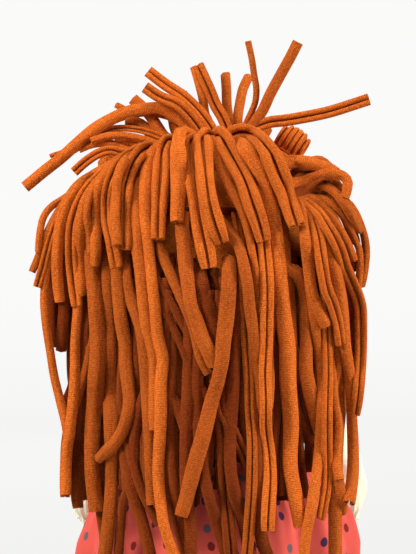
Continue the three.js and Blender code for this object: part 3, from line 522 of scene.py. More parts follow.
@dataclass(frozen=True)
class JerseyFinish:
    """Brushed cotton jersey, with its knit courses across the strip and its wales along it."""

    name: str = "jersey_strip"
    colour: Colour = (0.57, 0.110, 0.010)
    # Darker colour of random patches, and of painted shade in the knit grooves.
    deep: Colour = (0.24, 0.026, 0.002)
    # Light colour of the raised pills: paler fibre flecks, and a painted highlight on them.
    fleck_and_highlight: Colour = (0.9, 0.255, 0.038)
    fuzz: Colour = (1.0, 0.3, 0.04)
    # The colour of painted shade, towards which strips of the under layers are blended.
    shaded: Colour = (0.055, 0.0, 0.0)
    course: float = 0.0012
    wale: float = 0.0009
    waver: float = 0.9
    patch_share: float = 0.45
    groove_shade_share: float = 0.75
    fleck_and_highlight_share: float = 0.5
    relief: Pair = (0.55, 0.0006)
    sheen: float = 0.35
    on_strips: bool = True

    def build(self) -> Material:
        """Makes the material. Strips carry their run and their way round as attributes."""
        paint = Paint(self.name)
        place = paint.place()
        if self.on_strips:
            run, around = paint.attribute("run"), paint.attribute("around")
        else:
            around, _, run = paint.apart(place)
        wobble = paint.noise(place, 240.0) * (self.course * self.waver)
        rows = paint.maths("SINE", (run + wobble) * (2 * math.pi / self.course))
        columns = paint.maths("SINE", around * (2 * math.pi / self.wale))
        fibres = paint.noise(place, 1500.0, 3.0)
        pills = paint.noise(place, 900.0, 3.0)
        height = rows * 0.4 + columns * 0.15 + fibres * 0.7 + pills * 0.9
        patches = paint.between(paint.noise(place, 38.0, 3.0), 0.3, 0.75)
        colour = paint.blend(patches * self.patch_share, self.colour, self.deep)
        # Painted shade: the grooves between the knit courses are darkened.
        groove_shade = paint.between(rows * -0.5 + 0.5, 0.4, 1.0)
        colour = paint.blend(groove_shade * self.groove_shade_share, colour, self.deep)
        # The raised pills are lightened: partly paler fibre, partly painted highlight.
        flecks_and_highlights = paint.between(pills, 0.35, 0.75)
        colour = paint.blend(flecks_and_highlights * self.fleck_and_highlight_share, colour, self.fleck_and_highlight)
        # Painted shade: a strip's per-point attribute (its layer's share of light, times a small random tone) blends
        # it towards the shaded colour.
        if self.on_strips:
            colour = paint.blend(1 - paint.attribute("tone"), colour, self.shaded)
        return paint.cloth(colour, 0.95, paint.bump(height, *self.relief), self.sheen, self.fuzz)


@dataclass(frozen=True)
class ClothFinish:
    """Plain woven cotton on a piece with a UV map in metres, or on its own space."""

    name: str
    colour: Colour
    shade: Colour
    weave: float = 0.0006
    roughness: float = 0.92
    sheen: float = 0.15
    sheen_tint: Colour = (1.0, 1.0, 1.0)
    relief: Pair = (0.4, 0.0004)
    by_uv: bool = True

    def weave_height(self, paint: Paint) -> Wire:
        """The height of the woven threads."""
        place = paint.place()
        u, v, w = paint.apart(paint.flat_place() if self.by_uv else place)
        second = v if self.by_uv else w
        turn = 2 * math.pi / self.weave
        return (
            paint.maths("SINE", u * turn) * paint.maths("SINE", second * turn) * 0.35
            + paint.noise(place, 900.0, 3.0) * 0.6
            + paint.noise(place, 140.0, 2.0) * 0.8
        )

    def ground(self, paint: Paint) -> Wire:
        """The cloth's own colour with faint unevenness."""
        patches = paint.between(paint.noise(paint.place(), 60.0, 3.0), 0.3, 0.8)
        return paint.blend(patches * 0.5, self.colour, self.shade)

    def shown(self, paint: Paint) -> Wire:
        """The colour over the cloth."""
        return self.ground(paint)

    def build(self) -> Material:
        """Makes the material."""
        paint = Paint(self.name)
        normal = paint.bump(self.weave_height(paint), *self.relief)
        return paint.cloth(self.shown(paint), self.roughness, normal, self.sheen, self.sheen_tint)


@dataclass(frozen=True)
class DottedFinish(ClothFinish):
    """Woven cotton printed with small dots of several colours at uneven places."""

    roughness: float = 0.9
    cell: float = 0.0185
    dot: float = 0.0032
    cover: float = 0.93
    inks: tuple[Colour, ...] = (
        (0.012, 0.016, 0.06), (0.11, 0.10, 0.12), (0.22, 0.13, 0.16), (0.16, 0.012, 0.012),
        (0.02, 0.02, 0.035),
    )

    def shown(self, paint: Paint) -> Wire:
        """The ground with its dots."""
        cells = paint.node("TexVoronoi", {"voronoi_dimensions": "2D"},
                           {"Vector": paint.flat_place(), "Scale": 1 / self.cell, "Randomness": 0.62})
        edge = self.dot / self.cell
        away = Wire(paint, cells.outputs["Distance"]) + paint.noise(paint.place(), 800.0) * 0.02
        dots = 1 - paint.between(away, edge, edge * 1.14)
        pick, _, _ = paint.apart(Wire(paint, cells.outputs["Color"]))
        stops = [(index / len(self.inks), ink) for index, ink in enumerate(self.inks)]
        ramp = paint.node("ValToRGB", {"stops": stops}, {0: pick})
        return paint.blend(dots * self.cover, self.ground(paint), ramp.outputs[0])


@dataclass(frozen=True)
class LaceFinish(ClothFinish):
    """Cotton lace: thread round small holes in offset rows, on a UV map in metres."""

    hole: float = 0.0042

    def build(self) -> Material:
        """Makes the material."""
        paint = Paint(self.name)
        _, v, _ = paint.apart(paint.flat_place())
        cells = paint.node("TexVoronoi", {"voronoi_dimensions": "2D"},
                           {"Vector": paint.flat_place(), "Scale": 1 / self.hole, "Randomness": 0.25})
        away = Wire(paint, cells.outputs["Distance"])
        thread = paint.between(away, 0.27, 0.36)
        border = paint.between(v, 0.0, 0.004)
        alpha = paint.maths("MAXIMUM", thread, 1 - border)
        normal = paint.bump(self.weave_height(paint) + away, 0.6, 0.0005)
        return paint.cloth(self.ground(paint), self.roughness, normal, self.sheen, self.sheen_tint, alpha)


@dataclass(frozen=True)
class SkinFinish(ClothFinish):
    """Skin-coloured cotton with a soft blush on both cheeks."""

    sheen_tint: Colour = (1.0, 0.9, 0.8)
    blush: Colour = (0.78, 0.25, 0.17)
    blush_share: float = 0.55
    cheek: Place = (0.036, -0.058, 0.221)
    spread: float = 0.017

    def shown(self, paint: Paint) -> Wire:
        """The skin with its blush."""
        x, y, z = paint.apart(paint.place())
        aside = paint.maths("ABSOLUTE", x) - self.cheek[0]
        forward = (y - self.cheek[1]) * 0.4
        above = z - self.cheek[2]
        away = paint.maths("SQRT", aside * aside + forward * forward + above * above)
        mask = 1 - paint.between(away, self.spread * 0.15, self.spread)
        return paint.blend(mask * self.blush_share, self.ground(paint), self.blush)


@dataclass(frozen=True)
class ThreadFinish:
    """Twisted sewing or embroidery thread."""

    name: str
    colour: Colour

    def build(self) -> Material:
        """Makes the material."""
        paint = Paint(self.name)
        place = paint.place()
        x, _, z = paint.apart(place)
        twist = paint.maths("SINE", (x + z) * (2 * math.pi / 0.0007))
        shade = tuple(part * 0.6 for part in self.colour)
        colour = paint.blend(paint.noise(place, 500.0), self.colour, shade)
        normal = paint.bump(twist * 0.4 + paint.noise(place, 1800.0) * 0.4, 0.5, 0.0002)
        return paint.cloth(colour, 0.6, normal, 0.2, (1.0, 1.0, 1.0))


# Geometry trees that sweep strips and sew stitches

class ShapeTree(Tree):
    """A Geometry Nodes tree under construction, with named inputs."""

    def __init__(self, name: str, inputs: Sequence[tuple[str, str]]) -> None:
        """Starts a tree whose first input and only output is the geometry."""
        super().__init__(bpy.data.node_groups.new(name, "GeometryNodeTree"))
        for label, kind in [("Geometry", "Geometry"), *inputs]:
            self.tree.interface.new_socket(label, in_out="INPUT", socket_type="NodeSocket" + kind)
        self.tree.interface.new_socket("Geometry", in_out="OUTPUT", socket_type="NodeSocketGeometry")
        self.start = self.node("NodeGroupInput")
        self.end = self.node("NodeGroupOutput")

    def given(self, label: str) -> Socket:
        """The output of the tree's named input."""
        return self.start.outputs[label]

    def named(self, attribute: str, kind: str = "FLOAT") -> Socket:
        """A named attribute of the geometry."""
        made = self.node("GeometryNodeInputNamedAttribute", {"data_type": kind}, {0: attribute})
        return made.outputs[0]

    def finish(self, geometry: Socket) -> None:
        """Realizes what is instanced, sets the material and ends the tree."""
        real = self.node("GeometryNodeRealizeInstances", None, {0: geometry})
        dressed = self.node("GeometryNodeSetMaterial", None,
                            {0: real.outputs[0], 2: self.given("Material")})
        self.feed(self.end.inputs[0], dressed.outputs[0])

    def apply(self, carrier: Shape, name: str, material: Material, values: dict[str, object]) -> Shape:
        """Runs the tree on an object and returns the result as a plain mesh object."""
        modifier = carrier.modifiers.new("shape", "NODES")
        modifier.node_group = self.tree
        wanted = {**values, "Material": material}
        for item in self.tree.interface.items_tree:
            if item.in_out == "INPUT" and item.name in wanted:
                modifier[item.identifier] = wanted[item.name]
        return finished_mesh(carrier, name, material)


@dataclass(frozen=True)
class StripProfile:
    """Section of a jersey strip whose two edges curl inwards, for a half width of 1."""

    face: Face
    sheet: float = 0.15
    roll: float = 0.48
    square: float = 0.65
    curl: float = 1.22
    shrink: float = 0.5
    steps: int = 8
    crest: float = 1.52
    shoulder: Pair = (1.38, 0.27)
    valley: float = 0.9
    filler_depth: float = 0.5
    run_scale: float = 4.5 * MM

    def outline(self) -> Array:
        """The closed outline: distance outwards and distance across, one row each."""
        if self.face is Face.FILLER:
            angles = turns(8)
            return np.stack([self.filler_depth * np.cos(angles), np.sin(angles)], axis=1)
        flat = self.face is Face.FLAT
        share = np.linspace(0, 1, self.steps + 1)
        angle = share * self.curl * 2 * math.pi
        radius = self.roll * (1 - self.shrink * share)
        out, across = (np.sign(part) * np.abs(part) ** self.square
                       for part in (np.cos(angle), np.sin(angle)))
        right = np.stack([radius * out, 1 - self.roll + radius * across], axis=1)
        left = (right * [1, -1])[::-1]
        middle = [[self.roll * (self.crest if flat else self.valley), 0.0]]
        if flat:
            high, aside = self.shoulder
            middle = [[self.roll * high, -aside], *middle, [self.roll * high, aside]]
        line = np.vstack([left, middle, right])
        along = unit(np.gradient(line, axis=0))
        wall = np.stack([along[:, 1], -along[:, 0]], axis=1) * (self.sheet / 2)
        closed = np.vstack([line + wall, (line - wall)[::-1]])
        return closed if flat else (closed * [-1, 1])[::-1]

    def build(self) -> Shape:
        """Makes the outline as a mesh of edges that carries the way round, for one sweep."""
        places = self.outline()
        flat = np.pad(places, ((0, 0), (0, 1)))
        mesh = line_mesh("strip_profile", [flat], True)
        around = mesh.attributes.new("around", "FLOAT", "POINT")
        around.data.foreach_set("value", (run_along(places) * self.run_scale).astype(np.float32))
        return mesh_object("strip_profile", mesh)


@dataclass
class StripLine:
    """One strip in space: its places, the way its shown face looks, its half widths, and its painted light with a
    small random tone.
    """

    places: Array
    facing: Array
    half_width: Array
    face: Face
    closed: bool = False
    # Share of painted light from the strip's layer, times a small random tone; 1 leaves its colour as it is.
    tone: float = 1.0


class StripSweep:
    """Sweeps the strip's section along many lines at once with Geometry Nodes."""

    def __init__(self) -> None:
        """Builds the tree once."""
        tree = ShapeTree("strip_sweep", [("Profile", "Object"), ("Caps", "Bool"),
                                         ("Material", "Material")])
        curve = tree.node("GeometryNodeMeshToCurve", None, {0: tree.given("Geometry")})
        turned = tree.node("GeometryNodeSetCurveNormal", {"mode": "FREE"},
                           {"Curve": curve.outputs[0], "Normal": tree.named("facing", "FLOAT_VECTOR")})
        source = tree.node("GeometryNodeObjectInfo", None, {"Object": tree.given("Profile")})
        profile = tree.node("GeometryNodeMeshToCurve", None, {0: source.outputs["Geometry"]})
        swept = tree.node("GeometryNodeCurveToMesh", None, {
            "Curve": turned.outputs[0], "Profile Curve": profile.outputs[0],
            "Scale": tree.named("half_width"), "Fill Caps": tree.given("Caps"),
        })
        tree.finish(swept.outputs[0])
        self.tree = tree

    def carrier(self, name: str, lines: Sequence[StripLine]) -> Shape:
        """Makes the mesh of edges that the tree sweeps along. The lines are all closed, or all open."""
        mesh = line_mesh(name + "_lines", [line.places for line in lines], lines[0].closed)
        for label, kind, key, data in (
            ("facing", "FLOAT_VECTOR", "vector", [unit(line.facing) for line in lines]),
            ("half_width", "FLOAT", "value", [line.half_width for line in lines]),
            ("run", "FLOAT", "value", [run_along(line.places) for line in lines]),
            # Each strip's painted light and random tone, for the jersey material.
            ("tone", "FLOAT", "value", [np.full(len(line.places), line.tone) for line in lines]),
        ):
            held = mesh.attributes.new(label, kind, "POINT")
            held.data.foreach_set(key, np.concatenate(data).astype(np.float32).ravel())
        return mesh_object(name + "_lines", mesh)

    def sweep(self, name: str, lines: Sequence[StripLine], material: Material) -> Shape:
        """Sweeps every line with the profile of its face and joins the result.

        Args:
            name: The piece's name.
            lines: The strips of the piece.
            material: Its material.

        Returns:
            One plain mesh object.
        """
        parts = []
        for face in Face:
            for closed in (False, True):
                chosen = [line for line in lines if line.face is face and line.closed is closed]
                if not chosen:
                    continue
                profile = StripProfile(face).build()
                part = self.tree.apply(self.carrier(name, chosen), f"{name}_{face.value}", material,
                                       {"Profile": profile, "Caps": not closed})
                bpy.data.objects.remove(profile)
                parts.append(part)
        return joined(name, parts)


def joined(name: str, parts: Sequence[Shape]) -> Shape:
    """Joins plain mesh objects of one material into the first, under a new name."""
    if len(parts) > 1:
        with bpy.context.temp_override(active_object=parts[0], selected_editable_objects=list(parts)):
            bpy.ops.object.join()
    parts[0].name = name
    parts[0].data.name = name
    return parts[0]


class StitchSweep:
    """Sews a row of short thread stitches along lines with Geometry Nodes."""

    def __init__(self) -> None:
        """Builds the tree once."""
        tree = ShapeTree("stitch_row", [("Pitch", "Float"), ("Stitch", "Float"), ("Thread", "Float"),
                                        ("Material", "Material")])
        curve = tree.node("GeometryNodeMeshToCurve", None, {0: tree.given("Geometry")})
        even = tree.node("GeometryNodeResampleCurve", {"mode": "LENGTH"},
                         {"Curve": curve.outputs[0], "Length": tree.given("Pitch")})
        ball = tree.node("GeometryNodeMeshUVSphere", None, {"Segments": 6, "Rings": 4, "Radius": 0.5})
        size = tree.node("ShaderNodeCombineXYZ", None,
                         {0: tree.given("Thread"), 1: tree.given("Thread"), 2: tree.given("Stitch")})
        along = tree.node("GeometryNodeInputTangent")
        turn = tree.node("FunctionNodeAlignRotationToVector", {"axis": "Z"}, {"Vector": along.outputs[0]})
        sewn = tree.node("GeometryNodeInstanceOnPoints", None, {
            "Points": even.outputs[0], "Instance": ball.outputs[0],
            "Rotation": turn.outputs[0], "Scale": size.outputs[0],
        })
        tree.finish(sewn.outputs[0])
        self.tree = tree

    def sew(self, name: str, lines: Sequence[Array], material: Material,
            pitch: float = 0.0032, stitch: float = 0.0024, thread: float = 0.0006) -> Shape:
        """Sews stitches of a length and thickness at a pitch along lines."""
        mesh = line_mesh(name + "_path", lines)
        return self.tree.apply(mesh_object(name + "_path", mesh), name, material,
                               {"Pitch": pitch, "Stitch": stitch, "Thread": thread})


# Forms that the pieces share

@dataclass(frozen=True)
class PhotoFrame:
    """Turns a place in the photograph into a place beside the doll, at the depth of its hair."""

    axis_px: float = 218.0
    half_px: float = 107.0
    crown_py: float = 137.0
    half_width: float = 0.075
    crown_z: float = 0.33045
    eye: Place = (0.0070, 2.48, 0.2324)
    plane_y: float = 0.08

    @property
    def scale(self) -> float:
        """Metres for a pixel."""
        return self.half_width / self.half_px

    def x(self, px: Array) -> Array:
        """The place across, from a column."""
        return (self.axis_px - px) * self.scale

    def z(self, py: Array) -> Array:
        """The height, from a row."""
        return self.crown_z - (py - self.crown_py) * self.scale

    def sighted(self, places: Array) -> Array:
        """Moves places sideways and up or down, so that each is seen where it was marked on the plane."""
        eye = np.array(self.eye)
        reach = (eye[1] - places[:, 1:2]) / (eye[1] - self.plane_y)
        moved = eye + (places - eye) * reach
        moved[:, 1] = places[:, 1]
        return moved


PHOTO = PhotoFrame()


@dataclass(frozen=True)
class HeadForm:
    """The head as an ellipsoid, and the wig cap's edge round it."""

    half_width: float = 0.075
    half_depth: float = 0.072
    half_height: float = 0.077
    centre_z: float = 0.24315
    back_edge_z: float = 0.238
    side_edge_z: float = 0.246
    front_edge_z: float = 0.284

    def place(self, azimuth: Array, polar: Array, lift: Array) -> Array:
        """A place at an azimuth from +X, a polar angle from the crown and a distance outside."""
        return np.stack(np.broadcast_arrays(
            (self.half_width + lift) * np.sin(polar) * np.cos(azimuth),
            (self.half_depth + lift) * np.sin(polar) * np.sin(azimuth),
            self.centre_z + (self.half_height + lift) * np.cos(polar),
        ), axis=-1)

    def outwards(self, places: Array) -> Array:
        """The direction away from the head at places."""
        sizes = np.array([self.half_width, self.half_depth, self.half_height]) ** 2
        return unit((places - [0, 0, self.centre_z]) / sizes)

    def foot(self, azimuth: float, polar: float) -> tuple[Array, Array]:
        """A place on the head and the direction away from the head there."""
        place = self.place(np.array(azimuth), np.array(polar), 0.0)
        return place, self.outwards(place[None])[0]

    def edge_polar(self, azimuth: Array) -> Array:
        """The polar angle of the cap's edge at an azimuth."""
        front, back = smooth(-np.sin(azimuth)), smooth(np.sin(azimuth))
        edge = (self.side_edge_z + (self.front_edge_z - self.side_edge_z) * front
                + (self.back_edge_z - self.side_edge_z) * back)
        return np.arccos((edge - self.centre_z) / self.half_height)


HEAD = HeadForm()


@dataclass(frozen=True)
class TorsoForm:
    """The torso's outline. Each row: share of the height, of the half width and of the half depth."""

    height: float = 0.164
    half_width: float = 0.056
    half_depth: float = 0.042
    rows: tuple[tuple[float, float, float], ...] = (
        (0, 0.82, 0.82), (0.045, 0.96, 0.95), (0.17, 1, 1), (0.36, 0.92, 0.93),
        (0.6, 0.8, 0.8), (0.8, 0.85, 0.82), (0.9, 0.8, 0.74), (0.965, 0.56, 0.6),
    )

    def sizes(self, z: Array, outside: float) -> tuple[Array, Array]:
        """Half width and half depth at a height, at a distance outside the torso."""
        share = np.asarray(z) / self.height
        return (table_at(self.rows, share, 1) * self.half_width + outside,
                table_at(self.rows, share, 2) * self.half_depth + outside)


TORSO = TorsoForm()


class Sheet:
    """A piece of cloth as a grid of places with a UV map in metres."""

    def __init__(self, name: str, places: Array, cloth: Array, round_it: bool) -> None:
        """Makes the grid.

        Args:
            name: The piece's name.
            places: Rows by columns of places.
            cloth: Rows by columns of flat places, with one column more where the sheet closes round.
            round_it: Whether the last column joins the first.
        """
        rows, columns = places.shape[:2]
        last = columns if round_it else columns - 1
        faces, corners = [], []
        for row in range(rows - 1):
            for column in range(last):
                turn = (column + 1) % columns
                faces.append((row * columns + column, row * columns + turn,
                              (row + 1) * columns + turn, (row + 1) * columns + column))
                corners += [cloth[row, column], cloth[row, column + 1],
                            cloth[row + 1, column + 1], cloth[row + 1, column]]
        mesh = bpy.data.meshes.new(name)
        mesh.from_pydata(places.reshape(-1, 3).tolist(), [], faces)
        uv = mesh.uv_layers.new(name="cloth")
        uv.data.foreach_set("uv", np.array(corners, np.float32).ravel())
        self.object = mesh_object(name, mesh)

    def outwards(self) -> "Sheet":
        """Turns the faces away from the sheet's middle."""
        with edited(self.object.data) as build:
            bmesh.ops.recalc_face_normals(build, faces=build.faces)
        return self

    def finish(self, thickness: float, material: Material, offset: float = -1.0) -> Shape:
        """Gives the cloth its thickness, inwards or as offset says, and returns the plain mesh object."""
        wall = self.object.modifiers.new("wall", "SOLIDIFY")
        wall.thickness = thickness
        wall.offset = offset
        name = self.object.name
        self.object.name = name + "_source"
        return finished_mesh(self.object, name, material)


class Surface:
    """The outside of finished pieces, which other pieces are laid on."""

    def __init__(self, *pieces: Shape) -> None:
        """Reads the faces of the pieces."""
        self.trees = [BVHTree.FromPolygons([corner.co.copy() for corner in piece.data.vertices],
                                           [tuple(face.vertices) for face in piece.data.polygons])
                      for piece in pieces]

    def outermost(self, middle: Array, way: Array) -> Array:
        """The place where a line from the middle leaves the pieces.

        Args:
            middle: A place inside the pieces.
            way: The direction of the line, of length 1.

        Returns:
            The outermost place that the line meets.
        """
        start = Vector(middle + way * 0.3)
        found = [tree.ray_cast(start, Vector(-way))[0] for tree in self.trees]
        return max((np.array(place) for place in found if place is not None),
                   key=lambda place: float(np.dot(place - middle, way)))


def close_pole(piece: Shape) -> None:
    """Closes the small round openings that a dome's first ring leaves on both of its sides."""
    with edited(piece.data) as build:
        edges = [edge for edge in build.edges if edge.is_boundary]
        bmesh.ops.holes_fill(build, edges=edges, sides=0)


def sheet_of(piece: Shape, width: float, held: str, rests_on: Sequence[str],
             gathered: float = 1.0, pieces: Sequence[Shape] = ()) -> None:
    """Declares a sheet whose cut is as wide as given and as long as its area needs.

    Args:
        piece: The closed shell of cloth.
        width: The width of the cut.
        held: How the cloth is held.
        rests_on: What it lies on.
        gathered: Flat area for each part of the shown area.
        pieces: The separate pieces on it.
    """
    flat = sum(face.area for face in piece.data.polygons) / 2 * gathered
    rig.sheet(piece, flat=(width, max(round(flat / width, 4), 0.01)), held=held, rests_on=list(rests_on),
             with_pieces=list(pieces))


# The hair

@dataclass(frozen=True)
class Strand:
    """One strip: width in pixels, what it shows, places in pixels from root to cut end, lean in mm."""

    width: float
    face: Face
    path: Array
    lean: float = 0.0


def strands(table: str) -> tuple[Strand, ...]:
    """Reads a table of strands.

    Args:
        table: Rows that end with a semicolon. Each has the width, the face, the lean where there is one,
            and the places.

    Returns:
        The strands in the order of the table.
    """
    found = []
    for row in table.split(";")[:-1]:
        parts = row.split()
        width, face, *lean = (part for part in parts if "," not in part)
        path = np.array([[float(place) for place in part.split(",")] for part in parts if "," in part])
        found.append(Strand(float(width), Face(face), path, *map(float, lean)))
    return tuple(found)


TUFT = strands("""
8 F -34 206,140 199,122 191,108 184,93;
8 F -20 204,146 196,122 186,105 179,90;
12 F -18 205,148 184,141 176,130 173,116;
9 D -28 205,147 190,130 176,119 150,112 118,118 94,133 74,149 51,158;
12 F -12 206,149 180,143 166,138 157,126 148,112.5 133,99;
7 F -16 205,149 170,139 150,132 137,120 126,110 116,105;
12 F -12 205,148 180,143 158,138 150,132 138,123 126,122;
7 D -6 205,149 175,143 157,135 140,130 122,128 108,130 97,136;
8 F 0 205,150 180,148 161,146 149,141 128,136 108,136 91,141;
8 F -6 205,150 165,151 144,147 129,143 115,143;
9 F -5 205,150 160,154 132,151 121,147 106,143 92,144 79,149;
10 D 3 205,151 165,156 135,152 122,153 110,150 97,154 85,162 74,172;
12 F -4 206,146 190,130 175,116 158,108 144,109 128,111.5 111,119 94.6,128.5 78,142.5 61.5,157.5
    45,170.5 25,187;
10 F -26 229,148 229,130 228.5,117 227,106 226.5,89 225.4,74;
10 F -30 236,148 237.5,129 238,115 240,103 243,89 249,76;
12 D -12 231,148 228,131 222.5,117 216,106 209,89 198,65;
9.2 F -20 217,148 209,122 205.5,115 203,100 199,83 194.5,67;
12 D 8 208,148 203,135 199,128 190,116 177,104 160,97 145,87;
12 D 2 219,148 214.5,134 206,120 196,108 183,96 165,84 148,71;
10 F -20 232,148 250,147 262,138 268,128;
11 F 6 240,148 249,128 256,120 263,110 270,94.5 280,76 291,56 298,42;
6.5 F 0 238,148 244,128 250,115 255,103 256.4,89 254,74 252,60 248,41;
12 D 14 236,146 248,130 258,126 270,122 283,120.5 300,117.8 329,111.8 350,105.3 369,99;
""")

SHORT_FALL = strands("""
7 F 206,138 150,150 90,175 75,190 62,205 52,222 44,240 38,258 32,272;
8 D 206,138 150,152 98,176 80,188 62,212 53,230 47,250 42,270 37,287;
7 F 206,138 150,152 98,176 63,199 52,206 44,216 40,232 38,252;
11 F 208,138 160,150 118,162 100,173 85,181 73,193 66,207 60,230 57,260 58,285 60,302;
11 D 208,138 160,152 122,160 105,172 88,188 78,205 72,225 71,250 73,275 77,306;
10 F 208,140 165,152 125,160 108,172 96,185 86,200 81,218 79.5,240 80.5,265 82,295;
7 F 208,140 165,150 120,166 93,190 87,210 88,230 91,252;
10 F 208,140 165,150 118,160 105,175 98,190 96,210 96,240 95.5,265;
11 D 206,150 170,150 144,148 130,154 118,165 110,180 106.5,195 106,210 108,225 112.5,246 116.5,267;
13 D 206,150 170,148 152,147 142,151 133,163 127,180 125,200 124.5,225 124.5,250;
9 F 206,150 150,152 128,158 119,172 116,195 115,220 117,245;
14 D 204,150 182,145 168,140 163,149 161,175 159.5,200 158.5,220 158,239;
17 D 206,150 197,142 192,139 191,147 192,165 194,181 198,205 203,235 209,268;
13.5 F 204,148 193,139 187,133.5 180.5,133.5 178.5,142 178.5,160 179,180 178,200 177,222;
15.5 D 213,148 208,137 203,135 203,143 204,160 206,181 210,205 216,225 222,242;
17 D 227,148 229,137 238,132 249,133 259,139 268,150 275,164 282,182 288,200 293,214 297,225;
16 D 216,148 216,138 220,134.5 226,146 235,162 245,182 252,202 259,222 264,241;
""")

LONG_FALL = strands("""
8 F 206,138 150,152 95,182 58,225 50,258 46,275 44,300 46,325 50,350 54,375 60,400 66,425 68,440;
10 F 208,140 160,154 105,182 80,230 78,308 76,330 75,350 75,375 73,400 70,430 67,450 66,470 66,495;
10 F 204,150 166,145 148,157 136,185 137,220 138,250 140,266 142,287 144,309 147,330 151,345 154,370
    154,400 154,430;
10.5 F 204,150 172,147 156,149 149,160 146,180 145,208 146,223 149,251 152,280 155,308 158,337
    163,360 161,383 161,411 160,440 158.5,468 160,497 164,525 171,547 178,566;
7.5 F 214,148 213,138 216,152 222,172 232,192 242,212 248,232 252,252 256,275 259,300 262,325 265,345;
12 D 226,148 234,143 243,156 251,180 256,200 259,214 262,228 264,244 266,266 267,290 266.5,320
    266,351 265,372 266,400 266,430 269,455 270,480 269,500 268,520 268,531;
14 F 226,150 237,143 248,151 257,166 265,182 270,201 274,223 277,244 279,266 281,294 283,316 287,345
    288,385 291,425 290,465 294,490 299,515 301,527;
""")

MIDDLE = strands("""
12 F 104,212 108,300 111,400 112,480 104,566;
11 F 126,212 125,250 127,282 131,298 137,315 142,332 149,420 152,505;
9 F 100,220 96,280 90,350 86,370 80,390 74,408 69,425 66,445 65,470 65,497;
15 F 96,212 92,235 92,255 93,275 95,300 97,325 98,345 96,383 95,404 93,426 92,447 92,469 94,490
    97,511;
11 F 118,212 117,240 117,270 118,290 120,310 123,330 126,345 126,362 128,383 129.5,400 127,417
    122,432 114,444 105,453 98,459;
9 F 156,212 158,240 163,256 170,273 178,291 186,310 193,328 200,357 208,374;
13 F 184,212 182,225 184,245 186,265 188,285 191,305 197,322 203,340 209,352 214,366;
10 D 236,212 240,240 245,290 247,345 249,380 250,411 252,440 252,470 251,500 249,530 246,566;
10 F 216,212 222,222 228,230 236,240 243,260 247,280 250,310 253,331 256,361 260,382 262,402 265,425;
14 F 229,258 229,268 229,285 228,300 226,320 223,345 222,360 218,380 212,400 207,420 202,440 196,460
    191,480 186,500 181,516;
8 F 270,212 272,240 272,280 273,300 271,325 269,345 270,383 269,408;
12 F 280,212 283,240 286,268 296,272 303,285 306,300 306,325 306,345 306,372 310,392 315,412 320,432;
""")

INNER = strands("""
12 F 46,236 48,258 52,280 53,295 53,315 53,330 52,347;
11 F 62,236 64,270 64,300 63,330 61,350;
9 F 302,380 307,405 309,430 309,455 309,472;
10 F 84,230 82,300 80,360 76,420 74,470 78,508;
8 F 90,240 88,320 84,400 82,460 86,500;
10 F 146,278 150,330 149,360 149,395 148,420 148,450 149,480 152,505;
9 F 142,278 150,340 147,385 141,405 136,430 134,455 128,490 124,500 121,525 118,560;
10 F 132,278 124,360 122,420 125,455 128,475 134,497 141,518 147,540 152,562;
8 F 128,290 122,400 130,450 133,465 140,487 149,507 159,525;
8 F 110,290 104,400 98,470 100,505 103,530 106,562;
10 F 166,278 166,330 166,388 178,408 186,432 190,460;
8 F 170,290 166,340 165,400 166,440 168,480 173,510 180,535 188,562;
8 F 178,290 172,380 170,440 172,470 176,497 182,520 191,562;
12 F 190,300 188,400 186,460 187,500 190,520 191,562;
8 F 152,270 156,278 164,291 174,307 183,323 190,340 191,371 201,387 208,400;
8 F 154,285 160,304 171,323 181,344 190,365;
9 D 188,270 192,290 198,310 204,330 210,350;
14 F 198,262 200,275 203,292 208,310 213,328 216,345;
11 F 200,290 198,400 201,455 204,475 209,497 215,518 222,540 228,562;
13 D 214,290 216,370 219,400 221,420 224,440 224,460 225,480 226,500 228,520 232,562;
11 D 224,290 220,370 222,410 230,425 238,442 246,460 252,478 257,497 260,515 261,537;
12 F 236,290 232,400 230,460 234,490 240,511 246,533 252,562;
11 F 258,290 256,400 258,480 262,540 270,562;
13 F 286,270 288,310 290,345 297,368 305,392 313,412 320,430;
9 F 286,300 290,380 298,415 308,432 316,445;
12 F 300,280 304,320 307,345 310,365 316,385 319,400;
8 F 284,300 288,380 296,420 299,445 301,465 304,485 306,498;
""")

BUNCH_TOP = strands("""
11 R 292,198 304,190 320,183 334,184 342,192 344,204;
9 R 290,190 302,177 318,174 332,178;
5 F 303,163 312,159 320,158 326,161 333,168;
11.5 F 279,172 281,165 293,161.4 306,162.2 319,165.5 330,169 337,173;
9 F 285,192 290,184 303,181.3 314.6,176.3 327,173 338,173.8 344.5,177 347.8,182 347,189.6 345,198;
5 F 300,199 303,193.7 308,186.2 316.3,181.3 324.6,177.5 331,178;
9 F 312,190 322,186 334,191 341,199 348,209 354,219 360,231;
""")

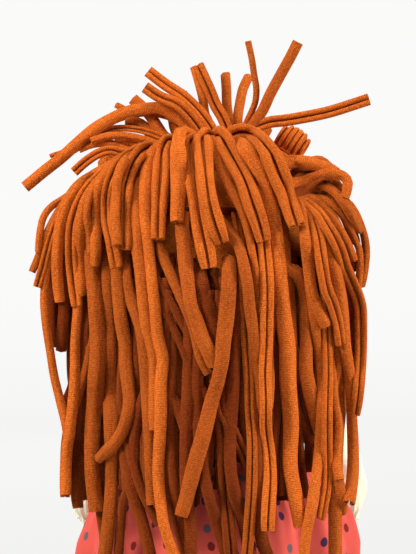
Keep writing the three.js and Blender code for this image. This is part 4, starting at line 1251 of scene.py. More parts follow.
BUNCH_FAN = strands("""
11 R 308,203 336,240 348,275 353,310 351,340 349,368;
13 R 294,176 303,171 313,171 323,175 332,182 341,192;
14 R 300,186 316,185 330,188 342,197;
12 R 308,197 326,198 338,205 346,216 351,230 355,244;
12 R 314,206 330,220 340,235 348,252 355,270;
11 R 306,204 326,240 338,280 343,320 343,372;
12 F 300,200 325,250 338,300 341,370 336,440 335,485 335,510 335,562;
9 F 300,200 312,300 322,380 319,445 317,468 314,490 311,510 307,530 303,562;
8 F 300,199 326,260 338,340 335,400 336,430 334,460 338,478 341,495 343,513;
8 F 300,199 325,270 338,345 339,365 335,385 331,405;
8 F 300,199 322,280 332,360 335,400 338,420 338,440 336,460 340,480;
11 F 300,199 325,240 340,300 345,345 349,370 351,395 352,420 353,445 353,470 351,490 349,503;
9 D 300,200 318,250 326,300 327,340 328,370 327.5,400 327,425 327,454 327,483 324,503 321,519;
10 D 299,199 310,212 318,235 320,247 323,269 327,289 333,304 338,323 341,344;
10 F 298,199 303,212 306,240 308,260 310,280 314,298 319,310 326,326;
8 F 301,199 325,200 345,201 354,211 361,226 365,240 366,254 364,271 361,286;
7 F 301,199 323,200 337,207 347,223 355,240 359,249 360,266 358,288;
9 F 301,199 316,200 327,211 338,228 347,243 354,260;
11 D 300,199 304,201 319,213 326,224 333,236 339,249 345,266 350,278 356,292 360,305 361,323 361,344
    360,370 358,395 355,415;
""")


WEFT_LOW = strands("8 R 128,262 160,262 200,262 240,262 280,262 304,262;")
WEFT_HIGH = strands("8 R 96,211 130,211 170,211 210,211 250,211 282,211;")


class HairBed:
    """Lays strips on the head and back one after another, so that each rests on those under it.

    The bed is a grid of depths, of count cells of one size from its low corner. The strips' thickness,
    the space they take and how they rest on others are shares of their half width or half thickness.
    """

    cell: float = 0.0015
    low: Pair = (-0.16, 0.0)
    count: tuple[int, int] = (214, 290)
    bare_lift: float = 0.0034
    side_plane: float = 0.030
    inner_lift: float = 0.0066
    drape: float = 0.011
    waist_z: float = 0.113
    hem_z: float = 0.057
    fullness: float = 1.08
    tie_depth: float = 0.028
    over_before: float = 0.011
    over_length: float = 0.012
    under_cap: float = 0.0004
    edge_py: Pair = (266.0, 279.0)
    gather_px: Pair = (10.0, 26.0)
    half_thickness: float = 0.5
    taken: Pair = (0.85, 0.75)
    felt: float = 0.8
    seated: float = 0.85
    unevenness: float = 0.07
    cut_end: Pair = (0.97, 0.9)
    sway: float = 0.0006
    # Filler strips get a further share of painted shade.
    filler_light: float = 0.4
    downwards: float = 0.7
    rearwards: float = 0.8
    # Painted shade: the share of light that each layer's strips are painted with, lowest for the layers underneath.
    layer_light: ClassVar[dict[Layer, float]] = {
        Layer.INNER: 0.24, Layer.MIDDLE: 0.66, Layer.FALL: 0.97, Layer.BUNCH: 0.84,
    }

    def __init__(self) -> None:
        """Starts with the bare cap and the back of the dress."""
        self.top = np.zeros(self.count)
        for i in range(self.count[0]):
            x = self.low[0] + i * self.cell
            z = self.low[1] + np.arange(self.count[1]) * self.cell
            self.top[i] = self.layer(np.full_like(z, x), z, self.bare_lift)

    def layer(self, x: Array, z: Array, lift: float) -> Array:
        """The depth of a layer that lies a distance outside the head and hangs down the back."""
        out = lift + self.drape * smooth((self.waist_z - z) / (self.waist_z - self.hem_z))
        across = (x / (HEAD.half_width + out)) ** 2
        above = np.where(z > HEAD.centre_z, ((z - HEAD.centre_z) / (HEAD.half_height + out)) ** 2, 0.0)
        rounded = (HEAD.half_depth + out) * np.sqrt(np.maximum(1 - across - above, 0.0))
        return np.maximum(rounded, self.side_plane + out - self.inner_lift)

    def cell_at(self, x: float, z: float) -> tuple[int, int]:
        """The cell of the grid of depths at a place."""
        return int(round((x - self.low[0]) / self.cell)), int(round((z - self.low[1]) / self.cell))

    def under(self, x: float, z: float, reach: float) -> float:
        """The outermost depth so far within a reach of a place."""
        a, b = self.cell_at(x, z)
        span = max(int(reach / self.cell), 1)
        window = self.top[max(a - span, 0):a + span + 1, max(b - span, 0):b + span + 1]
        return float(window.max()) if window.size else 0.0

    def cover(self, places: Array, half_width: Array, half_thick: Array) -> None:
        """Marks the space that a laid strip takes."""
        for (x, y, z), wide, thick in zip(places, half_width, half_thick):
            a, b = self.cell_at(x, z)
            span = max(int(wide * self.taken[0] / self.cell), 1)
            if min(a, b) < span or a >= self.count[0] - span or b >= self.count[1] - span:
                continue
            window = self.top[a - span:a + span + 1, b - span:b + span + 1]
            np.maximum(window, y + thick * self.taken[1], out=window)

    def lay(self, strand: Strand, layer: Layer, most: float, gather: Pair,
            seed: int) -> StripLine:
        """Lays one strip.

        Args:
            strand: Its row of a table.
            layer: Its layer.
            most: The farthest that it may lie outside its layer.
            gather: The place in pixels where strips of this piece are tied, which they all pass.
            seed: The seed of its small unevenness.

        Returns:
            The strip's line in space.
        """
        flat = through(strand.path, PITCH / PHOTO.scale)
        x, z = PHOTO.x(flat[:, 0]), PHOTO.z(flat[:, 1])
        draw = np.random.default_rng(seed)
        run = np.linspace(0, 1, len(x))
        half = np.full(len(x), strand.width / 2 * PHOTO.scale * self.fullness)
        half = half * (1 + self.unevenness * np.sin(run * draw.uniform(5, 12) + draw.uniform(0, 6)))
        half[-2:] *= np.array(self.cut_end)
        thick = half * self.half_thickness
        floor = self.layer(x, z, layer.value * MM)
        tied = np.hypot(flat[:, 0] - gather[0], flat[:, 1] - gather[1])
        free = smooth((tied - self.gather_px[0]) / self.gather_px[1])
        rest = np.array([self.under(*place) for place in zip(x, z, half * self.felt)])
        rest = rest + thick * self.seated
        depth = np.where(rest > floor, floor + (rest - floor) * free, floor)
        depth = np.minimum(depth, floor + most)
        wide = np.maximum(np.maximum(depth, np.roll(depth, 1)), np.roll(depth, -1))
        depth = softened(np.concatenate([depth[:1], wide[1:-1], depth[-1:]]), 10)
        depth = depth + self.sway * np.sin(run * draw.uniform(4, 9) * math.pi + draw.uniform(0, 6)) * free
        places = PHOTO.sighted(np.stack([x, self.rooted(flat, depth, layer), z], axis=1))
        facing = self.facing(x, z, layer.value * MM)
        half = half / np.clip(facing[:, 1], self.rearwards, 1.0)
        facing = twisted(places, facing, draw.uniform(0.05, 0.3) * np.sin(
            run * draw.uniform(2, 6) * math.pi + draw.uniform(0, 6)))
        self.cover(places, half, thick)
        # Painted shade by layer, times a small random tone of the strip; filler strips are painted darker still.
        tone = self.layer_light[layer] * draw.uniform(0.76, 1.07)
        if strand.face is Face.FILLER:
            tone *= self.filler_light
        return StripLine(places, facing, half, strand.face, tone=min(tone, 1.0))

    def rooted(self, flat: Array, depth: Array, layer: Layer) -> Array:
        """Brings a strip's root from the tie over the crown, or out from under the cap's edge."""
        if layer is Layer.FALL:
            step = np.gradient(flat, axis=0)
            down = step[:, 1] / np.maximum(np.linalg.norm(step, axis=1), 1e-9)
            turn = int(np.argmax(down > self.downwards))
            run = (np.arange(len(depth)) - turn) * PITCH
            share = smooth((run + self.over_before) / self.over_length)
            return self.tie_depth + (depth - self.tie_depth) * share
        if layer is Layer.INNER:
            low = np.minimum(HEAD.half_depth + self.under_cap, depth)
            share = smooth((flat[:, 1] - self.edge_py[0]) / (self.edge_py[1] - self.edge_py[0]))
            return low + (depth - low) * share
        return depth

    def facing(self, x: Array, z: Array, lift: float) -> Array:
        """The way that a strip's face looks: partly out of its layer and partly to the back."""
        step = 0.002
        slope_x = (self.layer(x + step, z, lift) - self.layer(x - step, z, lift)) / (2 * step)
        slope_z = (self.layer(x, z + step, lift) - self.layer(x, z - step, lift)) / (2 * step)
        out = unit(np.stack([-slope_x, np.ones_like(x), -slope_z], axis=1))
        return unit(out + [0, self.rearwards, 0])


def twisted(places: Array, facing: Array, angles: Array) -> Array:
    """Turns each facing about the line's own direction by an angle."""
    along = unit(np.gradient(places, axis=0))
    out = unit(facing - along * np.sum(facing * along, axis=1, keepdims=True))
    side = np.cross(along, out)
    return out * np.cos(angles)[:, None] + side * np.sin(angles)[:, None]


@dataclass
class Hair:
    """All the strips of the wig, and the cap that carries them."""

    material: Material
    cap_material: Material
    sweep: StripSweep
    crown: Pair = (214.0, 138.0)
    knot: Pair = (300.0, 199.0)
    crown_polar: float = math.radians(27)
    fillers: tuple[tuple[float, float, Face, float], ...] = (
        (72.0, 8.0, Face.FILLER, 0.002), (76.0, 11.0, Face.DOUBLE, 0.007), (81.0, 11.0, Face.FLAT, 0.008),
    )
    tuft_root: float = 0.018
    tuft_over: float = 0.0245
    tuft_curve: float = 1.2
    tuft_facing: Place = (0.0, 1.0, 0.25)
    # Columns, in pixels, where the tuft ends that are painted darker as shade finish.
    tuft_shaded_span: Pair = (215.0, 300.0)
    tie_turns: tuple[Pair, ...] = ((0.0052, 0.0118), (0.0085, 0.0108))
    bun_turns: tuple[Pair, ...] = ((0.0075, 0.0085), (0.0125, 0.0078), (0.0175, 0.007))
    bun_loops: tuple[float, ...] = (-0.86, -0.43, 0.0, 0.43, 0.86)
    bun_lean: float = math.radians(-65)
    fringe_loops: int = 8
    fringe_in: float = 0.104
    fringe_lift: float = 0.0185
    forward_strips: int = 21
    forward_places: int = 26
    side_strips: int = 6
    cap_lift: float = 0.0024
    cap_roll: tuple[Pair, ...] = ((0.012, 0.0032), (0.006, 0.0046), (-0.02, 0.0042))
    cap_run: float = 0.11
    cap_cut: float = 0.46
    blend_low: float = 0.045
    blend_high: float = 0.235
    bed: HairBed = field(default_factory=HairBed)

    def laid(self, rows: Sequence[Strand], layer: Layer, most: float, gather: Pair,
             name: str) -> list[StripLine]:
        """Lays the strips of one piece in the order of its table."""
        return [self.bed.lay(row, layer, most, gather, seed_of(f"{name}{index}"))
                for index, row in enumerate(rows)]

    def filler(self) -> list[StripLine]:
        """Plain strips close to the cap and back, which close the gaps between the shown ones."""
        draw = np.random.default_rng(11)
        lines = []
        for first, pitch, face, most in self.fillers:
            for px in np.arange(first, 334.0, pitch):
                end = draw.uniform(455, 505) if 90 < px < 295 else draw.uniform(400, 450)
                sway = draw.uniform(-9, 9, 3)
                path = np.array([(px, 258 + sway[0] / 2), (px + sway[0], 330), (px + sway[1], 380),
                                 (px + sway[2], end)])
                # These strips lie in the inner layer, so they are painted dark as shade.
                lines.append(self.bed.lay(Strand(draw.uniform(9, 12), face, path), Layer.INNER, most,
                                          self.crown, int(px)))
        return lines

    def tuft(self) -> list[StripLine]:
        """The ends that stand up and out of the topknot."""
        lines = []
        for index, row in enumerate(TUFT):
            flat = through(row.path, PITCH / PHOTO.scale)
            x, z = PHOTO.x(flat[:, 0]), PHOTO.z(flat[:, 1])
            draw = np.random.default_rng(seed_of(f"tuft{index}"))
            run = np.linspace(0, 1, len(x))
            over = self.bed.layer(x, z, self.tuft_over)
            free = self.tuft_root + row.lean * MM * run ** self.tuft_curve
            gone = run_along(np.stack([x, z], axis=1))
            crown = self.crown_line(x)
            under = smooth((crown - z) / 0.01) * smooth((gone - 0.035) / 0.02)
            depth = softened(np.where(z < crown, np.maximum(free, over * under), free), 6)
            places = PHOTO.sighted(np.stack([x, depth, z], axis=1))
            half = np.full(len(x), row.width / 2 * PHOTO.scale)
            half *= 0.85 + 0.15 * smooth(run * 3)
            facing = np.tile(self.tuft_facing, (len(x), 1))
            facing = twisted(places, facing, draw.uniform(-0.5, 0.5) * run + draw.uniform(-0.3, 0.3))
            # Tuft ends that finish within the shaded span are painted darker, as shade; each also takes a small random
            # tone.
            behind = self.tuft_shaded_span[0] < flat[-1, 0] < self.tuft_shaded_span[1]
            tone = draw.uniform(0.65, 0.8) if behind else draw.uniform(0.86, 1.0)
            lines.append(StripLine(places, facing, half, row.face, tone=tone))
        return lines

    @staticmethod
    def crown_line(x: Array) -> Array:
        """The height of the hair's outline over the head, seen from the back."""
        thick = 0.018
        share = np.clip(x / (HEAD.half_width + thick), -1, 1)
        return HEAD.centre_z + (HEAD.half_height + thick) * np.sqrt(1 - share ** 2)

    @staticmethod
    def loop(centre: Array, up: Array, side: Array, radius: float, half: float,
             face: Face = Face.DOUBLE, squash: float = 1.0, tilt: Number = 0.0) -> StripLine:
        """A closed loop of strip.

        Args:
            centre: Its middle.
            up: One direction of its plane, in which its radius is full.
            side: The other direction.
            radius: Its radius.
            half: Half the strip's width.
            face: The side of the strip that looks away from the middle.
            squash: The share of the radius that it has sideways.
            tilt: What turns the strip's face out of the plane.

        Returns:
            The strip's line.
        """
        angles = turns(LOOP_PLACES)
        spoke = np.cos(angles)[:, None] * up + squash * np.sin(angles)[:, None] * side
        widths = np.full(LOOP_PLACES, half)
        return StripLine(centre + radius * spoke, unit(spoke + tilt), widths, face, True)

    def tie(self) -> list[StripLine]:
        """Two turns of strip round the foot of the topknot."""
        foot, out = HEAD.foot(math.pi / 2, self.crown_polar)
        across = np.array([1.0, 0.0, 0.0])
        return [self.loop(foot + out * lift, across, np.cross(out, across), radius, 0.0021)
                for lift, radius in self.tie_turns]

    def forward(self) -> list[StripLine]:
        """Strips that lie on the cap from the topknot to the hairline."""
        lines = []
        for index, degrees in enumerate(np.linspace(-182, 2, self.forward_strips)):
            azimuth = math.radians(degrees)
            draw = np.random.default_rng(300 + index)
            start = np.array([0, math.sin(self.crown_polar), math.cos(self.crown_polar)])
            polar = float(HEAD.edge_polar(np.array(azimuth))) - draw.uniform(0.02, 0.2)
            end = np.array([math.sin(polar) * math.cos(azimuth), math.sin(polar) * math.sin(azimuth),
                            math.cos(polar)])
            share = np.linspace(0, 1, self.forward_places)[:, None]
            way = unit(start * (1 - share) + end * share)
            lift = 0.0135 - 0.0075 * smooth(share[:, 0] * 3) + draw.uniform(0, 0.002)
            sizes = np.array([HEAD.half_width, HEAD.half_depth, HEAD.half_height])
            places = way * (sizes + lift[:, None]) + [0, 0, HEAD.centre_z]
            half = np.full(self.forward_places, draw.uniform(0.0046, 0.0056))
            half = half * (0.55 + 0.45 * smooth(share[:, 0] * 2.5))
            face = Face.DOUBLE if index % 2 else Face.FLAT
            lines.append(StripLine(places, HEAD.outwards(places), half, face))
        return lines

    def side(self, sign: float) -> list[StripLine]:
        """Strips that hang from the cap's edge beside the face."""
        lines = []
        for index, share in enumerate(np.linspace(-0.13, 0.11, self.side_strips)):
            azimuth = share * math.pi if sign > 0 else math.pi - share * math.pi
            draw = np.random.default_rng(500 + index + int(sign))
            polar = float(HEAD.edge_polar(np.array(azimuth))) - 0.3
            top = HEAD.place(azimuth, polar, 0.006)
            edge = HEAD.place(azimuth, polar + 0.26, 0.0068)
            out = unit(np.array([edge[0], edge[1], 0.0]))
            long = draw.uniform(0.045, 0.056)
            low = edge + out * 0.005 - [0, 0, long * 0.5]
            tip = edge + out * draw.uniform(0.004, 0.009) - [0, 0, long]
            places = through(np.stack([top, edge, low, tip]), PITCH)
            turned = np.linspace(0, draw.uniform(-0.6, 0.6), len(places))
            facing = twisted(places, np.tile(out, (len(places), 1)), turned)
            half = np.full(len(places), draw.uniform(0.0042, 0.005))
            lines.append(StripLine(places, facing, half, Face.FLAT if index % 2 else Face.DOUBLE))
        return lines

    def bun(self, azimuth: float, polar: float) -> list[StripLine]:
        """A small bun: turns of strip wound on the cap, with loops that stand out of them."""
        foot, out = HEAD.foot(azimuth, polar)
        across = unit(np.cross(out, [0.0, 0.0, 1.0]))
        up = np.cross(across, out)
        wound = [self.loop(foot + out * level, across, up, radius, 0.0036, tilt=out * 0.3)
                 for level, radius in self.bun_turns]
        side = across * math.cos(self.bun_lean) + up * math.sin(self.bun_lean)
        over = np.cross(side, out)
        standing = [self.loop(foot + out * 0.0285 + side * share * 0.0098, out, over,
                              0.0108 * math.sqrt(1 - (share * 0.8) ** 2), 0.0027)
                    for share in self.bun_loops]
        return wound + standing

    def fringe(self) -> list[StripLine]:
        """Loops of strip in a row along the hairline over the forehead."""
        lines = []
        for index in range(self.fringe_loops):
            azimuth = np.array(math.pi * (-0.2 - 0.6 * index / (self.fringe_loops - 1)))
            polar = HEAD.edge_polar(azimuth) - self.fringe_in
            foot, out = HEAD.foot(azimuth, polar)
            after = HEAD.place(azimuth - 0.1, HEAD.edge_polar(azimuth - 0.1) - self.fringe_in, 0.0)
            side = unit(after - foot - out * np.dot(after - foot, out))
            centre = foot + out * self.fringe_lift
            lines.append(self.loop(centre, out, side, 0.0115, 0.0038, Face.FLAT, 0.86))
        return lines

    def build_cap(self) -> Shape:
        """The wig cap: a jersey dome with a rolled edge."""
        azimuths = turns(96)
        shares = np.concatenate([[0.02], np.linspace(0.06, 1, 26)])
        edge = HEAD.edge_polar(azimuths)
        rows = [HEAD.place(azimuths, edge * share, self.cap_lift) for share in shares]
        rows += [HEAD.place(azimuths, edge + past, lift) for past, lift in self.cap_roll]
        down = np.concatenate([shares, [1.01, 1.02, 1.04]]) * self.cap_run
        cloth = cloth_grid(2 * math.pi * HEAD.half_width, 97, down)
        piece = Sheet("wig_cap_jersey", np.stack(rows), cloth, True).outwards().finish(
            0.0011, self.cap_material, 1.0)
        close_pole(piece)
        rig.replaces(piece, "wig_cap")
        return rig.ride(piece, "head")

    def dress(self, piece: Shape, node: str, hangs: bool) -> Shape:
        """Ties a piece of hair to its body and names what it stands for."""
        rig.slot(piece, "hair_jersey")
        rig.replaces(piece, node)
        if not hangs:
            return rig.ride(piece, "head")
        low, high = (0, 0, self.blend_low), (0, 0, self.blend_high)
        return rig.blend(piece, "torso", "head", start=low, end=high)

    def build(self) -> list[Shape]:
        """Builds every piece of the wig, from the innermost layer outwards."""
        cap = self.build_cap()
        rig.slot(cap, "hair_jersey")
        sheet_of(cap, self.cap_cut, "stretched", ["head_cover"])
        under = self.laid(WEFT_LOW, Layer.INNER, 0.001, self.crown, "weft")
        under += self.filler()
        inner = self.laid(INNER, Layer.INNER, 0.014, self.crown, "inner")
        middle = self.laid(WEFT_HIGH, Layer.INNER, 0.001, self.crown, "weft")
        middle += self.laid(MIDDLE, Layer.MIDDLE, 0.018, self.crown, "middle")
        long_fall = self.laid(LONG_FALL, Layer.FALL, 0.02, self.crown, "long")
        fan = self.laid(BUNCH_FAN, Layer.BUNCH, 0.026, self.knot, "fan")
        top = self.laid(BUNCH_TOP, Layer.BUNCH, 0.026, self.knot, "top")
        short_fall = self.laid(SHORT_FALL, Layer.FALL, 0.028, self.crown, "short")
        pieces = []
        for name, lines, node, hangs in (
            ("hair_underlayer", under, "back_strips_inner", True),
            ("hair_inner", inner, "back_strips_inner", True),
            ("hair_middle", middle, "back_strips_middle", True),
            ("hair_long_fall", long_fall, "topknot_strips", True),
            ("hair_short_fall", short_fall, "topknot_strips", False),
            ("hair_forward", self.forward(), "topknot_strips", False),
            ("hair_tuft", self.tuft(), "topknot_strips", False),
            ("hair_topknot_tie", self.tie(), "topknot_tie", False),
            ("hair_bunch_fan", fan, "bunch_strips", True),
            ("hair_bunch_top", top, "bunch_strips", False),
            ("hair_fringe", self.fringe(), "fringe_loops", False),
            ("hair_bun_right", self.bun(math.radians(201), math.radians(34)), "bun_right", False),
            ("hair_bun_left", self.bun(math.radians(349), math.radians(47)), "bun_left", False),
            ("hair_side_left", self.side(1.0), "side_strips_left", False),
            ("hair_side_right", self.side(-1.0), "side_strips_right", False),
        ):
            piece = self.sweep.sweep(name, lines, self.material)
            log.info("%s: %d strips, %d faces", name, len(lines), len(piece.data.polygons))
            pieces.append(self.dress(piece, node, hangs))
        return [cap, *pieces]


# The doll's body

@dataclass
class Body:
    """The stuffed head, torso and limbs."""

    skin: Material
    voxel: float = 0.0035
    cover: float = 0.0014

    def padded(self, name: str, node: str, cover: str, body: str, passes: int = 12,
               fill: float = 0.85) -> Shape:
        """Makes a stuffed piece from the solid of its stuffing.

        Args:
            name: The new piece's name.
            node: The CAD node of the stuffing, which gives the form.
            cover: The CAD node of the cover.
            body: The body that it rides on.
            passes: How often the form is evened out.
            fill: How full it is, from 0 to 1.

        Returns:
            The piece.
        """
        mesh = frame["nodes"][node].data.copy()
        source = mesh_object(name + "_source", mesh)
        with edited(mesh) as build:
            bmesh.ops.remove_doubles(build, verts=build.verts, dist=1e-5)
        remesh = source.modifiers.new("grain", "REMESH")
        remesh.mode = "VOXEL"
        remesh.voxel_size = self.voxel
        even = source.modifiers.new("even", "SMOOTH")
        even.factor, even.iterations = 0.5, passes
        piece = finished_mesh(source, name, self.skin)
        self.swell(piece, name)
        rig.replaces(piece, node, cover)
        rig.slot(piece, "skin_cotton")
        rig.ride(piece, body)
        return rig.padded(piece, fill=fill)

    def swell(self, piece: Shape, name: str) -> None:
        """Moves the surface out to the cover, with the small lumps of hand stuffing."""
        mesh = piece.data
        count = len(mesh.vertices)
        places, normals = np.zeros(count * 3), np.zeros(count * 3)
        mesh.vertices.foreach_get("co", places)
        mesh.vertices.foreach_get("normal", normals)
        places, normals = places.reshape(-1, 3), normals.reshape(-1, 3)
        draw = np.random.default_rng(seed_of(name))
        lumps = np.zeros(count)
        for _ in range(10):
            wave = draw.normal(size=3) * 110
            lumps += np.sin(places @ wave + draw.uniform(0, 6)) / 10
        moved = places + normals * (self.cover + 0.0005 * lumps)[:, None]
        moved[:, 2] = np.maximum(moved[:, 2], 0.0)
        mesh.vertices.foreach_set("co", moved.ravel())
        mesh.update()

    def build(self) -> list[Shape]:
        """Builds the head, the torso and the four limbs."""
        pieces = [
            self.padded("doll_head", "head_stuffing", "head_cover", "head", 8, 0.95),
            self.padded("doll_torso", "torso_stuffing", "torso_cover", "torso", 6, 0.9),
        ]
        for side in ("left", "right"):
            for limb in ("arm", "leg"):
                pieces.append(self.padded(f"doll_{limb}_{side}", f"{limb}_{side}_stuffing",
                                          f"{limb}_{side}_cover", f"{limb}_{side}"))
        return pieces


@dataclass
class FaceSewing:
    """A plain embroidered face: two round eyes, brows, a stitched nose and a small smile."""

    stitches: StitchSweep
    dark: Material
    red: Material
    white: Material
    head: Surface
    eye_x: float = 0.026
    eye_z: float = 0.2395
    eye_half: Pair = (0.0058, 0.0078)
    glint: Pair = (0.0018, 0.0028)
    glint_half: Pair = (0.0014, 0.0018)
    brow_half: Pair = (0.0105, 0.0085)
    brow_rise: float = 0.008
    satin_pitch: float = 0.00075
    lift: float = 0.0005
    red_rows: tuple[tuple[float, float, float, tuple[float, ...]], ...] = (
        (0.0145, 0.2075, 0.0052, (0.0, 0.0007, -0.0007)), (0.0022, 0.2255, -0.0012, (0.0, 0.0008)),
    )

    def on_face(self, x: Array, z: Array, lift: float) -> Array:
        """Places on the face at a distance outside it."""
        ahead = np.array([0.0, -1.0, 0.0])
        places = np.array([self.head.outermost(np.array([right, 0.0, up]), ahead)
                           for right, up in zip(*np.broadcast_arrays(x, z))])
        return places + HEAD.outwards(places) * lift

    def satin(self, x: float, z: float, half: Pair, lift: float) -> list[Array]:
        """Upright rows of satin stitch that fill an oval."""
        rows = []
        for across in np.arange(-half[0] + 0.0004, half[0], self.satin_pitch):
            tall = half[1] * math.sqrt(max(1 - (across / half[0]) ** 2, 0.0))
            steps = np.linspace(-tall, tall, 9)
            rows.append(self.on_face(np.full(9, x + across), z + steps, lift))
        return rows

    def build(self) -> list[Shape]:
        """Sews the face."""
        dark, light = [], []
        for sign in (1, -1):
            x = sign * self.eye_x
            dark += self.satin(x, self.eye_z, self.eye_half, self.lift)
            light += self.satin(x + self.glint[0], self.eye_z + self.glint[1], self.glint_half, 0.001)
            turn = np.linspace(0.2, 0.8, 12) * math.pi
            dark.append(self.on_face(x + self.brow_half[0] * np.cos(turn), self.eye_z + self.brow_rise
                                     + self.brow_half[1] * np.sin(turn), 0.0004))
        bend = np.linspace(-1, 1, 17)
        red = [self.on_face(half * bend, z + rise * bend ** 2 + drop, self.lift)
               for half, z, rise, drops in self.red_rows for drop in drops]
        made = []
        for name, lines, material, pitch in (
            ("face_dark_thread", dark, self.dark, 0.0014),
            ("face_light_thread", light, self.white, 0.0012),
            ("face_red_thread", red, self.red, 0.0016),
        ):
            piece = self.stitches.sew(name, lines, material, pitch, pitch * 1.5, 0.0009)
            made.append(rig.ride(piece, "head"))
        return made


# The clothes

@dataclass
class Dress:
    """The dotted dress: a gathered skirt, a bodice, a waistband and two straps."""

    material: Material
    thread: Material
    stitches: StitchSweep
    under: Surface
    waist_z: float = 0.1127
    waist_gap: float = 0.0029
    skirt_width: float = 0.72
    hem_row: float = 0.94
    half_width: float = 0.100
    front: float = 0.090
    back: float = 0.058
    front_hem_z: float = 0.057
    side_hem_z: float = 0.013
    back_hem_z: float = 0.007
    folds: int = 10
    fold: float = 0.0040
    pleats: int = 17
    pleat: float = 0.0016
    gathers: int = 46
    gather: float = 0.0011
    swells: int = 7
    swell: float = 0.0012
    thickness: float = 0.0009
    bodice_foot: float = 0.1122
    bodice_top: float = 0.133
    bodice_gap: float = 0.0018
    band_z: Pair = (0.1125, 0.1205)
    band_gap: float = 0.0033
    band_rows: Pair = (0.1135, 0.1195)
    row_gap: float = 0.0044
    strap_places: int = 41
    strap_edges: Pair = (0.022, 0.032)
    rows: tuple[tuple[float, float, float, float], ...] = (
        (0, 0, 0, 0), (0.12, 0.21, 0.18, 0.32), (0.28, 0.52, 0.42, 0.64),
        (0.48, 0.82, 0.69, 0.89), (0.72, 0.96, 0.88, 1), (1, 1, 1, 1),
    )

    def hem_z(self, angle: Array) -> Array:
        """The height of the hem round the skirt."""
        front, back = smooth(-np.sin(angle) * 1.25), smooth(np.sin(angle))
        return (self.side_hem_z + (self.front_hem_z - self.side_hem_z) * front
                + (self.back_hem_z - self.side_hem_z) * back)

    def skirt_places(self, angle: Array, down: float) -> Array:
        """A ring of the skirt at a share of the way down."""
        share = np.clip(down, 0, 1)
        wide, fore, aft = (table_at(self.rows, share, column) for column in (1, 2, 3))
        waist_wide, waist_deep = TORSO.sizes(self.waist_z, self.waist_gap)
        drift = 0.45 * share * np.sin(angle * 2 + 1.3) + 0.5 * share
        fold = self.fold * smooth(share * 1.6) * np.cos(self.folds * angle)
        fold += self.pleat * smooth(share * 3) * np.cos(self.pleats * angle + 4 * drift + 1.0)
        fold += (self.gather * smooth(share * 12) * (1 - smooth((share - 0.25) * 1.6))
                 * np.cos(self.gathers * angle + 3 * drift))
        fold += self.swell * share * np.sin(self.swells * angle + 9 * share)
        depth = np.where(np.sin(angle) < 0, waist_deep + (self.front - waist_deep) * fore,
                         waist_deep + (self.back - waist_deep) * aft)
        width = waist_wide + (self.half_width - waist_wide) * wide
        z = self.waist_z + (self.hem_z(angle) - self.waist_z) * down
        return oval(angle, width + fold, depth + fold, z)

    def build_skirt(self) -> Shape:
        """The skirt, gathered at the waist, with a turned hem."""
        angle = turns(300)
        downs = np.concatenate([np.linspace(0, 0.3, 12), np.linspace(0.34, 1.0, 18)])
        places = np.stack([self.skirt_places(angle, down) for down in downs])
        steps = np.linalg.norm(np.diff(places, axis=0), axis=2)
        run = np.pad(np.cumsum(steps, axis=0), ((1, 0), (0, 1)))
        run[:, -1] = run[:, 0]
        piece = Sheet("dress_skirt_cloth", places, cloth_grid(self.skirt_width, 301, run), True)
        piece = piece.outwards().finish(self.thickness, self.material)
        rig.replaces(piece, "dress_skirt")
        return piece

    def shell(self, name: str, levels: Array, outside: float, wrinkle: float) -> Shape:
        """A fitted band of cloth round the torso between heights."""
        angle = turns(120)
        rows = []
        for z in levels:
            wide, deep = TORSO.sizes(z, outside)
            ease = wrinkle * (np.sin(9 * angle + z * 400) + np.sin(14 * angle - z * 300)) / 2
            rows.append(oval(angle, wide + ease, deep + ease, z))
        piece = Sheet(name, np.stack(rows), cloth_grid(0.33, 121, levels[-1] - levels), True)
        return piece.outwards().finish(self.thickness, self.material, 1.0)

    def strap_line(self, x: float, lift: float) -> Array:
        """A line of a shoulder strap on the blouse, from the front of the bodice to its back."""
        middle = np.array([x, 0.0, self.bodice_top])
        ways = [np.array([0.0, math.sin(turn), math.cos(turn)])
                for turn in np.linspace(-0.5, 0.5, self.strap_places) * math.pi]
        places = np.array([self.under.outermost(middle, way) + way * lift for way in ways])
        places[1:-1] = (places[:-2] + 2 * places[1:-1] + places[2:]) / 4
        return places

    def build(self) -> list[Shape]:
        """Builds the dress on the torso."""
        skirt = self.build_skirt()
        levels = np.linspace(self.bodice_foot, self.bodice_top, 9)
        bodice = self.shell("dress_bodice_cloth", levels, self.bodice_gap, 0.0003)
        band = self.shell("dress_waistband_cloth", np.linspace(*self.band_z, 6), self.band_gap, 0.0002)
        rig.replaces(bodice, "dress_bodice")
        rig.replaces(band, "dress_waistband")
        made = [skirt, bodice, band]
        angle = np.linspace(0, 2 * math.pi, 361)
        hem = self.skirt_places(angle, self.hem_row)
        hem_row = self.stitches.sew("skirt_hem_stitches", [hem + oval(angle, 1.0, 1.0, 0.0) * 0.0004],
                                    self.thread)
        rows = [oval(angle, *TORSO.sizes(z, self.row_gap), z) for z in self.band_rows]
        band_row = self.stitches.sew("waistband_stitches", rows, self.thread, 0.0026, 0.0019)
        for sign, side in ((1, "left"), (-1, "right")):
            places = np.stack([self.strap_line(sign * x, 0.0013)
                               for x in np.linspace(*self.strap_edges, 7)], axis=1)
            cloth = cloth_grid(0.01, 7, np.linspace(0, 0.09, self.strap_places))
            strap = Sheet(f"strap_{side}_cloth", places, cloth, False).finish(0.0011, self.material, 0.0)
            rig.replaces(strap, f"strap_{side}")
            sheet_of(strap, 0.01, "stretched", ["blouse_body_cloth"])
            made.append(strap)
        sheet_of(skirt, self.skirt_width, "gathered", ["dress_waistband_cloth"], 1.1, [hem_row])
        sheet_of(bodice, 0.3, "stretched", ["blouse_body_cloth"])
        sheet_of(band, 0.3, "stretched", ["dress_bodice_cloth"], 1.0, [band_row])
        for piece in made:
            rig.slot(piece, "coral_cotton")
        return [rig.ride(piece, "torso") for piece in [*made, hem_row, band_row]]


